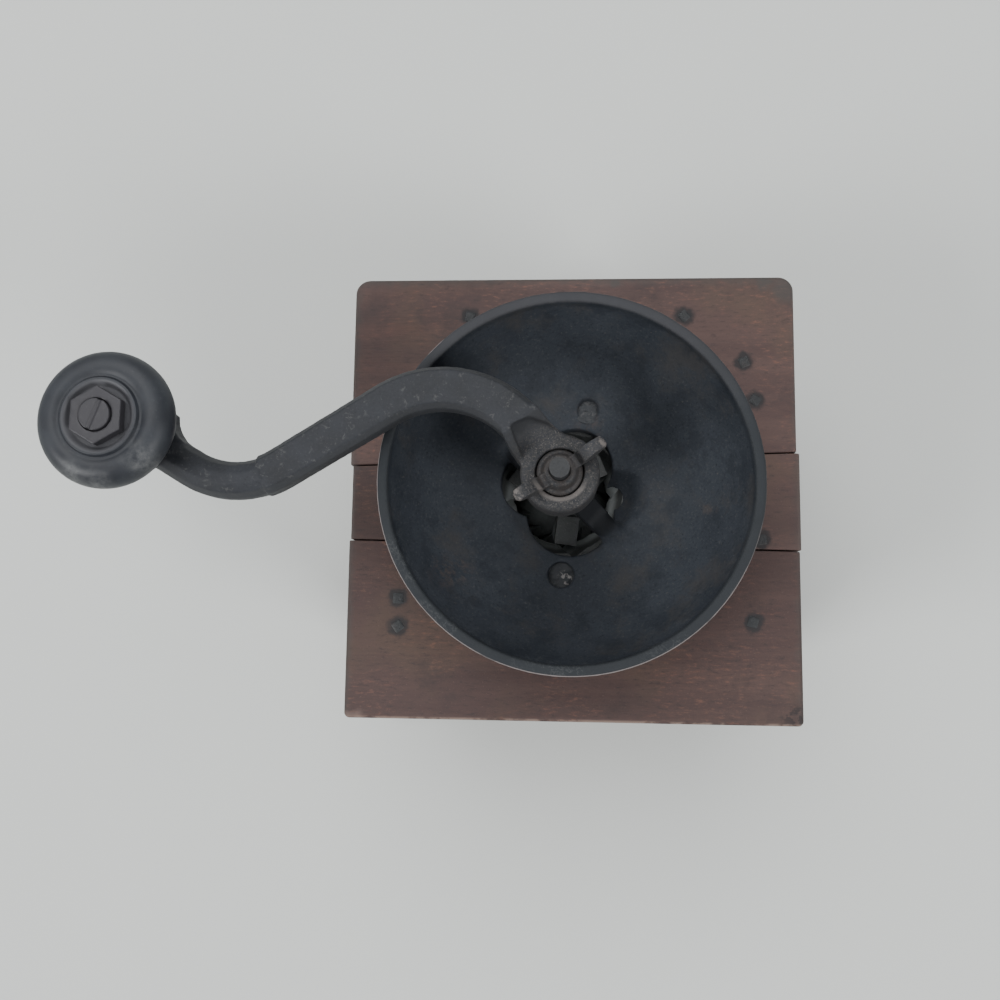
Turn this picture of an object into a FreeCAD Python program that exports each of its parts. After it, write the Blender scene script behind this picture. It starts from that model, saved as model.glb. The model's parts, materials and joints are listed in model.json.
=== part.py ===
import FreeCAD, Part
import math
import os
import Sketcher

from FreeCAD import Placement, Rotation, Vector

# Box coffee mill: a wooden box with a drawer, a cast hopper on its top, a toothed cone that hangs on a
# spindle in a fixed toothed ring, and an S-shaped crank with a wooden knob. The origin is the centre
# of the base's underside, X runs to the right, Y to the back and Z up. The drawer opens to the front.

SIZES = (
    ("top_side", 165.0, "side of the square wooden top"),
    ("top_thick", 12.0, "thickness of the top boards"),
    ("back_shift", -0.5, "sideways slip of the back board"),
    ("middle_shift", 0.5, "sideways slip of the middle board"),
    ("back_seam_left", 10.4, "back seam of the middle board at its left end"),
    ("back_seam_right", 15.8, "back seam of the middle board at its right end"),
    ("front_seam_left", -17.4, "front seam of the middle board at its left end"),
    ("front_seam_right", -20.2, "front seam of the middle board at its right end"),
    ("seam_gap", 0.5, "open seam between two top boards"),
    ("back_corner", 5.5, "corner radius of the top at the back"),
    ("front_corner", 2.0, "corner radius of the top at the front"),
    ("edge_worn", 1.2, "bevel of the top boards' worn edges"),
    ("base_side", 172.0, "side of the square base board"),
    ("base_thick", 12.0, "thickness of the base board"),
    ("base_round", 5.0, "moulded upper edge of the base board"),
    ("wall_high", 94.0, "height of the box walls"),
    ("wall_thick", 9.0, "thickness of the box walls"),
    ("wall_inset", 12.0, "overhang of the top past the walls"),
    ("drawer_gap_high", 48.0, "height of the drawer opening"),
    ("back_fingers", 7.0, "fingers in each back corner"),
    ("rail_fingers", 3.0, "fingers in each end of the front rail"),
    ("axis_x", -4.0, "spindle axis, from the middle of the box"),
    ("axis_y", 0.5, "spindle axis, from the middle of the box"),
    ("bowl_x", 3.1, "middle of the bowl, from the spindle axis"),
    ("bowl_y", -1.6, "middle of the bowl, from the spindle axis"),
    ("bowl_radius", 63.5, "outer radius of the bowl's rim"),
    ("bowl_high", 45.0, "height of the rim above the top"),
    ("rim_wide", 3.9, "width of the rim"),
    ("lip_high", 4.0, "straight part of the wall below the rim"),
    ("bowl_curve", 52.0, "radius of the bowl's inner curve"),
    ("bowl_shell", 4.0, "thickness of the bowl's wall"),
    ("bowl_floor_radius", 20.0, "inner end of the bowl's curve"),
    ("bowl_floor_high", 5.6, "height of the bowl's floor at the throat"),
    ("foot_radius", 40.0, "radius of the hopper's foot flange"),
    ("foot_high", 3.0, "thickness of the foot flange"),
    ("foot_neck", 36.5, "radius of the hopper above its foot"),
    ("foot_neck_high", 7.4, "height where the bowl's outer curve starts"),
    ("front_lobe_x", 3.5, "front lobe of the throat, from the spindle axis"),
    ("front_lobe_y", -8.0, "front lobe of the throat, from the spindle axis"),
    ("front_lobe_radius", 15.7, "radius of the front lobe"),
    ("left_lobe_x", -9.5, "left lobe of the throat, from the spindle axis"),
    ("left_lobe_y", 2.5, "left lobe of the throat, from the spindle axis"),
    ("left_lobe_radius", 12.0, "radius of the left lobe"),
    ("back_lobe_x", 5.0, "back lobe of the throat, from the spindle axis"),
    ("back_lobe_y", 9.0, "back lobe of the throat, from the spindle axis"),
    ("back_lobe_radius", 13.5, "radius of the back lobe"),
    ("chute_x", 18.6, "right lobe, a chute, from the spindle axis"),
    ("chute_y", -2.1, "right lobe, a chute, from the spindle axis"),
    ("chute_radius", 13.0, "radius of the chute at the bowl's floor"),
    ("chute_low_radius", 3.6, "radius of the chute at the hopper's underside"),
    ("chute_high", 8.0, "height of the chute"),
    ("bridge_angle", -40.0, "direction of the bridge over the throat, in degrees"),
    ("bridge_wide", 8.0, "width of the bridge"),
    ("boss_radius", 9.0, "radius of the spindle bearing"),
    ("boss_low", 14.0, "lower end of the bearing above the top"),
    ("boss_high", 36.0, "upper end of the bearing above the top"),
    ("spindle_radius", 5.0, "radius of the spindle"),
    ("running_fit", 0.06, "radial clearance of a running fit"),
    ("bolt_one_x", 0.3, "first hopper bolt, from the spindle axis"),
    ("bolt_one_y", -30.6, "first hopper bolt, from the spindle axis"),
    ("bolt_two_x", 9.7, "second hopper bolt, from the spindle axis"),
    ("bolt_two_y", 29.4, "second hopper bolt, from the spindle axis"),
    ("bolt_radius", 2.4, "radius of the hopper bolts"),
    ("bolt_head_radius", 5.2, "radius of the hopper bolts' heads"),
    ("bolt_seat_high", 2.6, "height of the heads' seats above the top"),
    ("bolt_one_high", 4.8, "upper face of the first bolt's head, above the top"),
    ("bolt_two_high", 7.8, "upper face of the second bolt's head, above the top"),
    ("bolt_end", -23.0, "lower end of the hopper bolts"),
    ("nut_side", 8.4, "side of a square nut"),
    ("nut_thick", 4.0, "thickness of a square nut"),
    ("ring_radius", 25.5, "outer radius of the grinding ring"),
    ("ring_hole", 26.5, "radius of the hole in the top for the ring"),
    ("ring_mouth", 22.4, "inner radius of the ring at its mouth"),
    ("ring_waist", 17.5, "inner radius of the ring at its waist"),
    ("ring_skirt", 21.3, "inner radius of the ring at its lower end"),
    ("ring_waist_low", -18.0, "height of the waist, from the top's face"),
    ("ring_low", -42.0, "height of the ring's lower end"),
    ("ear_thick", 5.0, "thickness of the ring's ears"),
    ("ear_radius", 7.0, "radius of an ear's end"),
    ("ring_teeth", 16.0, "grooves in the grinding ring"),
    ("ring_groove", 1.5, "depth of the ring's grooves"),
    ("ring_slip", 5.0, "sideways slip of a ring groove along its length"),
    ("mouth_ribs", 8.0, "feeding grooves in the ring's mouth"),
    ("cone_top_radius", 7.0, "radius of the cone's neck"),
    ("cone_waist", 11.5, "radius of the cone at the ring's waist"),
    ("cone_skirt", 20.6, "radius of the cone at its lower end"),
    ("cone_top", -4.0, "height of the cone's upper end"),
    ("cone_low", -42.6, "height of the cone's lower end"),
    ("cone_teeth", 14.0, "grooves in the grinding cone"),
    ("cone_groove", 1.8, "depth of the cone's grooves"),
    ("cone_slip", 5.5, "sideways slip of a cone groove along its length"),
    ("vane_count", 3.0, "crusher vanes on the cone"),
    ("vane_angle", -97.0, "direction of the first vane, in degrees"),
    ("vane_reach", 18.6, "outer radius of the vanes at their tops"),
    ("vane_wide", 8.0, "width of a vane at its upper end"),
    ("vane_top", -2.6, "upper end of the vanes"),
    ("vane_slip", 4.0, "sideways slip of a vane along its height"),
    ("seat_side", 7.0, "side of the spindle's square under the crank"),
    ("seat_gap", 0.1, "clearance round the square in the crank"),
    ("cone_seat_side", 8.0, "side of the spindle's square in the cone"),
    ("thread_radius", 3.2, "radius of the spindle's threaded ends"),
    ("spindle_top", 60.0, "upper end of the spindle above the top"),
    ("spindle_low", -51.0, "lower end of the spindle"),
    ("collar_radius", 7.5, "radius of the spindle's collar on the cone"),
    ("collar_high", 3.0, "height of the collar"),
    ("cone_nut_side", 12.0, "side of the square nut under the cone"),
    ("cone_nut_thick", 5.0, "thickness of the nut under the cone"),
    ("hub_radius", 13.0, "radius of the crank's hub"),
    ("hub_low", 36.3, "underside of the hub above the top"),
    ("hub_floor", 44.0, "floor of the hub's cup"),
    ("hub_high", 50.0, "top of the hub's ring"),
    ("cup_radius", 7.7, "radius of the hub's cup"),
    ("arm_low", 49.0, "underside of the crank arm above the top"),
    ("arm_high", 59.6, "upper face of the crank arm"),
    ("arm_wide", 14.6, "width of the crank arm"),
    ("arm_end_wide", 13.2, "width of the crank arm where the round bar starts"),
    ("arm_bevel", 2.4, "bevel along the arm's edges"),
    ("neck_start", 10.9, "start of the slope from the hub to the arm"),
    ("neck_end", 19.6, "end of the slope from the hub to the arm"),
    ("neck_wide", 8.1, "half width of the neck on its straight side"),
    ("neck_flare", 26.0, "radius of the neck's flare into the hub"),
    ("scoop_radius", 12.0, "radius of the scoop in the neck's slope"),
    ("shoulder_x", -30.2, "shoulder corner of the crank line, from the axis"),
    ("shoulder_y", 36.65, "shoulder corner of the crank line, from the axis"),
    ("elbow_x", -103.7, "elbow corner of the crank line, from the axis"),
    ("elbow_y", -8.7, "elbow corner of the crank line, from the axis"),
    ("handle_x", -138.45, "knob stud, from the axis"),
    ("handle_y", 11.8, "knob stud, from the axis"),
    ("shoulder_bend", 34.2, "bend radius at the shoulder"),
    ("elbow_bend", 28.4, "bend radius at the elbow"),
    ("step_x", -95.0, "place of the step from flat arm to round bar"),
    ("bar_radius", 6.4, "radius of the round bar"),
    ("bar_high", 53.9, "height of the bar's centre line above the top"),
    ("eye_radius", 13.0, "radius of the eye under the knob"),
    ("eye_flare", 12.0, "radius of the flare from the bar into the eye"),
    ("eye_high", 60.4, "upper face of the eye"),
    ("wing_hub_radius", 6.5, "radius of the wing nut's body"),
    ("wing_hub_top", 5.2, "radius of the wing nut's body at its top"),
    ("wing_hub_high", 54.0, "upper face of the wing nut's body"),
    ("wing_reach", 17.0, "reach of a wing from the axis"),
    ("wing_low", 51.2, "lowest point of a wing"),
    ("wing_high", 59.4, "highest point of a wing"),
    ("wing_thick", 4.0, "thickness of a wing"),
    ("wing_angle", 33.0, "direction of the right wing, in degrees"),
    ("wing_drop", 0.2, "gap between wing nut and hub floor"),
    ("knob_low", 60.7, "underside of the crank knob above the top"),
    ("knob_foot_radius", 15.2, "radius of the knob's foot"),
    ("knob_foot_high", 63.5, "upper edge of the knob's foot"),
    ("knob_neck_radius", 12.8, "radius of the knob's neck"),
    ("knob_neck_high", 64.6, "height of the knob's neck"),
    ("knob_radius", 21.3, "largest radius of the knob"),
    ("knob_wide_high", 75.0, "height of the knob's largest radius"),
    ("knob_bulge", 6.0, "radius of the bulge in section"),
    ("knob_cove_radius", 13.6, "radius of the cove ring"),
    ("knob_cove_high", 80.6, "height of the cove ring"),
    ("knob_lip_radius", 11.6, "radius of the lip round the nut"),
    ("knob_lip_high", 81.6, "height of the lip round the nut"),
    ("knob_well_radius", 9.8, "radius of the well under the nut"),
    ("knob_well_high", 79.6, "floor of the well under the nut"),
    ("stud_radius", 4.9, "radius of the knob stud"),
    ("stud_low", 50.5, "lower end of the knob stud"),
    ("stud_high", 84.3, "upper end of the knob stud"),
    ("stud_slot_wide", 1.2, "width of the slot in the stud's end"),
    ("stud_slot_deep", 1.2, "depth of the slot in the stud's end"),
    ("stud_slot_angle", 70.0, "direction of the slot, in degrees"),
    ("hex_flats", 15.9, "width across the flats of the knob nut"),
    ("hex_high", 83.5, "upper face of the knob nut"),
    ("drawer_front_thick", 10.0, "thickness of the drawer's front"),
    ("drawer_side_thick", 7.0, "thickness of the drawer's sides and back"),
    ("drawer_side_high", 40.0, "height of the drawer's sides"),
    ("drawer_bottom_thick", 4.0, "thickness of the drawer's bottom"),
    ("drawer_play", 0.5, "clearance round the drawer"),
    ("drawer_end_gap", 2.0, "gap between drawer and back wall"),
    ("drawer_lap", 4.0, "lap of the drawer's sides behind its front"),
    ("pull_radius", 9.5, "radius of the drawer knob"),
    ("pull_reach", 16.0, "how far the drawer knob stands out"),
    ("pull_neck", 5.0, "neck radius of the drawer knob"),
    ("screw_radius", 1.8, "radius of the drawer knob's screw"),
    ("screw_head", 4.0, "radius of the screw's head"),
    ("screw_head_thick", 2.0, "thickness of the screw's head"),
    ("nail_side", 2.0, "side of a cut nail's shank"),
    ("nail_head", 4.6, "side of a top nail's square head"),
    ("nail_head_thick", 1.2, "thickness of a nail's head"),
    ("nail_proud", 0.3, "height of a top nail's head over the wood"),
    ("nail_long", 30.0, "length of the top nails"),
    ("small_nail_side", 1.5, "side of a drawer nail's shank"),
    ("small_nail_head", 2.6, "side of a drawer nail's head"),
    ("small_nail_long", 16.0, "length of a drawer nail"),
)

# Nails on the top, measured from the middle of the box.
TOP_NAILS = (
    (-63.5, -38.9),
    (-63.3, -49.1),
    (65.1, -45.9),
    (63.4, 49.7),
    (67.1, 35.3),
    (68.6, -16.3),
    (41.5, 67.4),
    (-38.8, 67.5),
)


class Size:
    """A number together with the sheet expression that gives it."""

    def __init__(self, value, text):
        self.value = float(value)
        self.text = text

    def __add__(self, other):
        other = as_size(other)
        return Size(self.value + other.value, f"({self.text} + {other.text})")

    def __sub__(self, other):
        other = as_size(other)
        return Size(self.value - other.value, f"({self.text} - {other.text})")

    def __mul__(self, other):
        other = as_size(other)
        return Size(self.value * other.value, f"({self.text} * {other.text})")

    def __truediv__(self, other):
        other = as_size(other)
        return Size(self.value / other.value, f"({self.text} / {other.text})")

    def __neg__(self):
        return as_size(0) - self

    __radd__ = __add__
    __rmul__ = __mul__

    def __rsub__(self, other):
        return as_size(other) - self


def as_size(item):
    return item if isinstance(item, Size) else Size(item, repr(float(item)))


class Sheet:
    """The sheet of driving sizes; each alias reads as a Size."""

    def __init__(self, rows):
        self.cells = document.addObject("Spreadsheet::Sheet", "sizes")
        for row, (alias, value, meaning) in enumerate(rows, 1):
            self.cells.set(f"A{row}", meaning)
            self.cells.set(f"B{row}", repr(value))
            self.cells.setAlias(f"B{row}", alias)
        document.recompute()

    def __getattr__(self, alias):
        return Size(self.cells.get(alias), f"sizes.{alias}")


document = FreeCAD.newDocument("coffee_mill")
size = Sheet(SIZES)
nodes = []


def bind(item, **sizes):
    for field, value in sizes.items():
        item.setExpression(field, as_size(value).text)


def place(item, x=0, y=0, z=0, turn=0, tilt=None):
    """Puts an object at a point, turned about Z or by a given rotation."""
    item.Placement = Placement(Vector(), tilt or Rotation(Vector(0, 0, 1), as_size(turn).value))
    for axis, value in zip("xyz", (x, y, z)):
        item.setExpression(f"Placement.Base.{axis}", as_size(value).text)
    if tilt is None and as_size(turn).value:
        item.setExpression("Placement.Rotation.Angle", as_size(turn).text)
    return item


def keep(item, label):
    """Marks an object as a finished piece of the mill."""
    item.Label = label
    nodes.append(item)
    return item


def block(name, low, high, turn=0):
    """Box from its low corner to its high corner."""
    solid = document.addObject("Part::Box", name)
    spans = [as_size(end) - start for start, end in zip(low, high)]
    bind(solid, Length=spans[0], Width=spans[1], Height=spans[2])
    return place(solid, *low, turn=turn)


def rod(name, x, y, low, high, radius, sides=0):
    """Upright cylinder, or with a number of sides a bar whose flats lie at that radius."""
    if sides:
        solid = document.addObject("Part::Prism", name)
        solid.Polygon = sides
        bind(solid, Circumradius=as_size(radius) / math.cos(math.pi / sides))
    else:
        solid = document.addObject("Part::Cylinder", name)
        bind(solid, Radius=radius)
    bind(solid, Height=as_size(high) - low)
    return place(solid, x, y, low)


def square_rod(name, x, y, low, high, side, turn=0):
    """Upright square bar on an axis."""
    solid = document.addObject("Part::Prism", name)
    solid.Polygon = 4
    bind(solid, Circumradius=side * math.sqrt(0.5), Height=as_size(high) - low)
    return place(solid, x, y, low, turn=as_size(turn) + 45)


def fuse(name, *pieces):
    joined = document.addObject("Part::MultiFuse", name)
    joined.Shapes = list(pieces)
    joined.Refine = True
    return joined


def common(name, first, second):
    shared = document.addObject("Part::MultiCommon", name)
    shared.Shapes = [first, second]
    return shared


def cut(name, base, *tools):
    result = document.addObject("Part::Cut", name)
    result.Base = base
    result.Tool = tools[0] if len(tools) == 1 else fuse(f"{name}_tools", *tools)
    result.Refine = True
    return result


def new_body(name, x=0, y=0, z=0, turn=0, tilt=None):
    return place(document.addObject("PartDesign::Body", name), x, y, z, turn, tilt)


def origin_item(body, role):
    return next(item for item in body.Origin.OriginFeatures if item.Role == role)


def new_sketch(body, name, plane, shift=(0, 0, 0), turn=0, axis=Vector(0, 0, 1)):
    """Sketch on one of the body's own planes, moved and turned in that plane's frame."""
    sketch = body.newObject("Sketcher::SketchObject", name)
    sketch.AttachmentSupport = [(origin_item(body, plane), "")]
    sketch.MapMode = "FlatFace"
    sketch.AttachmentOffset = Placement(Vector(), Rotation(axis, as_size(turn).value))
    for letter, value in zip("xyz", shift):
        sketch.setExpression(f".AttachmentOffset.Base.{letter}", as_size(value).text)
    if as_size(turn).value and axis.z:
        sketch.setExpression(".AttachmentOffset.Rotation.Angle", as_size(turn).text)
    return sketch


def pin_point(sketch, item, end, x, y):
    """Holds a point of the sketch at two bound distances from its origin."""
    for kind, value in (("DistanceX", as_size(x)), ("DistanceY", as_size(y))):
        number = sketch.addConstraint(Sketcher.Constraint(kind, -1, 1, item, end, value.value))
        sketch.setExpression(f"Constraints[{number}]", value.text)


def pin_radius(sketch, item, radius):
    number = sketch.addConstraint(Sketcher.Constraint("Radius", item, as_size(radius).value))
    sketch.setExpression(f"Constraints[{number}]", as_size(radius).text)


def arc_between(start, end, radius, side):
    """Minor arc from start to end, with its centre on the given side of the way."""
    middle = (start + end) / 2
    along = end - start
    normal = Vector(-along.y, along.x, 0).normalize()
    rise = math.sqrt(radius**2 - along.Length**2 / 4)
    centre = middle + normal * (rise if side == "left" else -rise)
    first, last = (start, end) if side == "left" else (end, start)
    angles = [math.atan2(point.y - centre.y, point.x - centre.x) for point in (first, last)]
    return Part.ArcOfCircle(Part.Circle(centre, Vector(0, 0, 1), radius), *angles)


def with_flats(corners):
    """Replaces each arc that names a number of flats by that many chords of it."""
    result = []
    for index, corner in enumerate(corners):
        if len(corner) < 5:
            result.append(corner)
            continue
        following = corners[(index + 1) % len(corners)]
        start = Vector(as_size(corner[0]).value, as_size(corner[1]).value, 0)
        end = Vector(as_size(following[0]).value, as_size(following[1]).value, 0)
        arc = arc_between(start, end, as_size(corner[2]).value, corner[3])
        points = arc.toShape().discretize(Number=corner[4] + 1)
        inner = points[1:-1] if corner[3] == "left" else points[-2:0:-1]
        result.append(corner[:2])
        result += [(point.x, point.y) for point in inner]
    return result


def outline(sketch, corners):
    """Closed outline. A corner is (x, y), or (x, y, radius, side) where an arc starts, and a number
    of flats after the side makes that arc a run of chords."""
    corners = with_flats(corners)
    points = [Vector(as_size(corner[0]).value, as_size(corner[1]).value, 0) for corner in corners]
    edges = []
    for index, corner in enumerate(corners):
        start = points[index]
        end = points[(index + 1) % len(points)]
        if len(corner) == 2:
            edges.append((sketch.addGeometry(Part.LineSegment(start, end)), 1, 2))
            continue
        arc = sketch.addGeometry(arc_between(start, end, as_size(corner[2]).value, corner[3]))
        edges.append((arc, 1, 2) if corner[3] == "left" else (arc, 2, 1))
    for index, (item, _, last) in enumerate(edges):
        following = edges[(index + 1) % len(edges)]
        sketch.addConstraint(Sketcher.Constraint("Coincident", item, last, following[0], following[1]))
    for (item, first, _), corner in zip(edges, corners):
        pin_point(sketch, item, first, corner[0], corner[1])
        if len(corner) == 4:
            pin_radius(sketch, item, corner[2])
    return sketch


def rectangle(x_low, y_low, x_high, y_high):
    return (x_low, y_low), (x_high, y_low), (x_high, y_high), (x_low, y_high)


def turned(name, corners, x=0, y=0, z=0, tilt=None, sides=0):
    """Body turned from a half section of (radius, height) corners. With a number of sides it gets that
    many flats round its axis: one wedge of it is cut out of a slab and repeated."""
    body = new_body(name, x, y, z, tilt=tilt)
    sketch = outline(new_sketch(body, f"{name}_section", "XZ_Plane"), corners)
    if not sides:
        turn = body.newObject("PartDesign::Revolution", f"{name}_turn")
        turn.Profile = sketch
        turn.ReferenceAxis = (sketch, ["V_Axis"])
        turn.Angle = 360
        return body
    reach = max(as_size(corner[0]).value for corner in corners) + 2
    half_wide = reach * math.tan(math.pi / sides)
    pad(body, sketch, half_wide * 2, symmetric=True)
    outside = ((0, 0), (reach, half_wide), (reach, reach), (-1, reach), (-1, -reach), (reach, -reach),
               (reach, -half_wide))
    wedge = body.newObject("PartDesign::Pocket", f"{name}_wedge")
    wedge.Profile = outline(new_sketch(body, f"{name}_outside", "XY_Plane"), outside)
    wedge.Type = "ThroughAll"
    wedge.SideType = "Symmetric"
    repeat_round(body, wedge, sides, whole=True)
    return body


def pad(body, sketch, length, symmetric=False):
    raised = body.newObject("PartDesign::Pad", f"{sketch.Name}_pad")
    raised.Profile = sketch
    bind(raised, Length=length)
    if symmetric:
        raised.SideType = "Symmetric"
    return raised


def ease_edges(body, feature, kind, depth, wanted):
    """Fillet or Chamfer on the edges of the body's last feature whose middle is wanted."""
    document.recompute()
    edges = enumerate(feature.Shape.Edges, 1)
    names = [f"Edge{number}" for number, edge in edges if wanted(edge.CenterOfMass)]
    eased = body.newObject(f"PartDesign::{kind}", f"{feature.Name}_eased")
    eased.Base = (feature, names)
    bind(eased, **{"Radius" if kind == "Fillet" else "Size": depth})
    return eased


def repeat_round(body, feature, count, whole=False):
    """Repeats a feature, or the whole body so far, about the body's Z axis."""
    document.recompute()
    pattern = body.newObject("PartDesign::PolarPattern", f"{feature.Name}_round_pattern")
    if whole:
        pattern.TransformMode = "Whole shape"
    else:
        pattern.Originals = [feature]
    pattern.Axis = (origin_item(body, "Z_Axis"), [""])
    pattern.Angle = 360
    bind(pattern, Occurrences=count)
    body.Tip = pattern
    return pattern


# Levels of the box.
wall_low = size.base_thick
wall_top = size.base_thick + size.wall_high
face = wall_top + size.top_thick
half_top = size.top_side / 2
wall_out = half_top - size.wall_inset
wall_in = wall_out - size.wall_thick
opening_top = wall_low + size.drawer_gap_high


def make_base():
    body = new_body("base_plan")
    half = size.base_side / 2
    plan = outline(new_sketch(body, "base_outline", "XY_Plane"), rectangle(-half, -half, half, half))
    slab = pad(body, plan, size.base_thick)
    top = size.base_thick.value - 0.01
    ease_edges(body, slab, "Fillet", size.base_round, lambda middle: middle.z > top)
    keep(body, "base_board")


def finger_blocks(name, low, high, bottom, finger, count):
    """Every second finger of a corner column, from its second one up."""
    blocks = []
    for index in range(1, int(count.value), 2):
        start = bottom + finger * index
        blocks.append(block(f"{name}_{index}", (*low, start), (*high, start + finger)))
    return blocks


def corner_fingers(name, side, at_back):
    """Fingers of the back wall or the front rail in the left or right corner column."""
    x_low = wall_in if side > 0 else -wall_out
    x_high = wall_out if side > 0 else -wall_in
    if at_back:
        finger = size.wall_high / size.back_fingers
        low = (x_low, wall_in)
        high = (x_high, wall_out)
        return finger_blocks(name, low, high, wall_low, finger, size.back_fingers)
    finger = (wall_top - opening_top) / size.rail_fingers
    low = (x_low, -wall_out)
    high = (x_high, -wall_in)
    return finger_blocks(name, low, high, opening_top, finger, size.rail_fingers)


def make_walls():
    for side, word in ((-1, "left"), (1, "right")):
        x_low = wall_in if side > 0 else -wall_out
        x_high = wall_out if side > 0 else -wall_in
        board = block(f"{word}_board", (x_low, -wall_out, wall_low), (x_high, wall_out, wall_top))
        sockets = corner_fingers(f"{word}_back_socket", side, True)
        sockets += corner_fingers(f"{word}_front_socket", side, False)
        keep(cut(f"{word}_wall", board, *sockets), f"wall_{word}")
    for at_back, label in ((True, "wall_back"), (False, "front_rail")):
        y_low = wall_in if at_back else -wall_out
        y_high = wall_out if at_back else -wall_in
        bottom = wall_low if at_back else opening_top
        board = block(f"{label}_board", (-wall_in, y_low, bottom), (wall_in, y_high, wall_top))
        fingers = corner_fingers(f"{label}_left_finger", -1, at_back)
        fingers += corner_fingers(f"{label}_right_finger", 1, at_back)
        keep(fuse(f"{label}_joined", board, *fingers), label)


def board_corner(x, y, radius, x_way, y_way):
    """Two corners that round off the board at (x, y), counter-clockwise."""
    first = (x, y - radius * y_way) if x_way == y_way else (x - radius * x_way, y)
    last = (x - radius * x_way, y) if x_way == y_way else (x, y - radius * y_way)
    return [(first[0], first[1], radius, "left"), last]


def top_board(name, corners, holes, worn):
    """One board of the top with its worn edges, less the hole for the mill and the bolts."""
    body = new_body(f"{name}_plan", z=wall_top)
    plan = outline(new_sketch(body, f"{name}_outline", "XY_Plane"), corners)
    slab = pad(body, plan, size.top_thick)
    upper = size.top_thick.value - 0.01
    ease_edges(body, slab, "Chamfer", size.edge_worn, lambda middle: middle.z > upper and worn(middle))
    keep(cut(f"{name}_bored", body, *holes), name)


def make_top():
    gap = size.seam_gap / 2
    back_left = -half_top + size.back_shift
    back_right = half_top + size.back_shift
    middle_left = -half_top + size.middle_shift
    middle_right = half_top + size.middle_shift
    hole = rod("mill_hole", size.axis_x, size.axis_y, wall_top, face, size.ring_hole)
    bolt_one = rod("bolt_hole_one", size.axis_x + size.bolt_one_x, size.axis_y + size.bolt_one_y,
                   wall_top, face, size.bolt_radius + 0.2, sides=12)
    bolt_two = rod("bolt_hole_two", size.axis_x + size.bolt_two_x, size.axis_y + size.bolt_two_y,
                   wall_top, face, size.bolt_radius + 0.2, sides=12)
    edge = half_top.value - 2
    back = [(back_left, size.back_seam_left + gap), (back_right, size.back_seam_right + gap)]
    back += board_corner(back_right, half_top, size.back_corner, 1, 1)
    back += board_corner(back_left, half_top, size.back_corner, -1, 1)
    top_board("top_board_back", back, (hole, bolt_two), lambda p: abs(p.x) > edge or p.y > edge)
    front = board_corner(-half_top, -half_top, size.front_corner, -1, -1)
    front += board_corner(half_top, -half_top, size.front_corner, 1, -1)
    front += [(half_top, size.front_seam_right - gap), (-half_top, size.front_seam_left - gap)]
    top_board("top_board_front", front, (hole, bolt_one), lambda p: abs(p.x) > edge or p.y < -edge)
    lean_back = (size.back_seam_right - size.back_seam_left) / size.top_side
    lean_front = (size.front_seam_right - size.front_seam_left) / size.top_side
    split = size.axis_x
    back_split = size.back_seam_left + lean_back * (split + half_top) - gap
    front_split = size.front_seam_left + lean_front * (split + half_top) + gap
    left = [(middle_left, size.front_seam_left + gap), (split, front_split), (split, back_split),
            (middle_left, size.back_seam_left - gap)]
    right = [(split, front_split), (middle_right, size.front_seam_right + gap),
             (middle_right, size.back_seam_right - gap), (split, back_split)]
    top_board("top_board_middle_left", left, (hole,), lambda p: p.x < -edge)
    top_board("top_board_middle_right", right, (hole,), lambda p: p.x > edge)


def make_top_nails():
    nails = []
    for index, (x, y) in enumerate(TOP_NAILS):
        head_low = face + size.nail_proud - size.nail_head_thick
        nails.append(square_rod(f"top_nail_head_{index}", x, y, head_low, face + size.nail_proud,
                                size.nail_head, turn=37 * index))
        nails.append(square_rod(f"top_nail_shank_{index}", x, y, face - size.nail_long, head_low,
                                size.nail_side, turn=37 * index))
    keep(fuse("top_nails_group", *nails), "top_nails")


def make_base_nails():
    middle = (wall_out + wall_in) / 2
    reach = wall_in - 12
    spots = [(side * middle, way * reach) for side in (-1, 1) for way in (-1, 1)]
    spots += [(side * reach, middle) for side in (-1, 1)]
    nails = []
    for index, (x, y) in enumerate(spots):
        head_top = 0.2 + size.nail_head_thick
        nails.append(square_rod(f"base_nail_head_{index}", x, y, 0.2, head_top, size.nail_head))
        nails.append(square_rod(f"base_nail_shank_{index}", x, y, head_top, size.nail_long, size.nail_side))
    keep(fuse("base_nails_group", *nails), "base_nails")


def at_axis(name, corners, sides=0):
    """Turned body on the spindle axis; its heights count from the top's upper face."""
    return turned(name, corners, size.axis_x, size.axis_y, face, sides=sides)


def from_axis(x, y):
    return size.axis_x + x, size.axis_y + y


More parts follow.
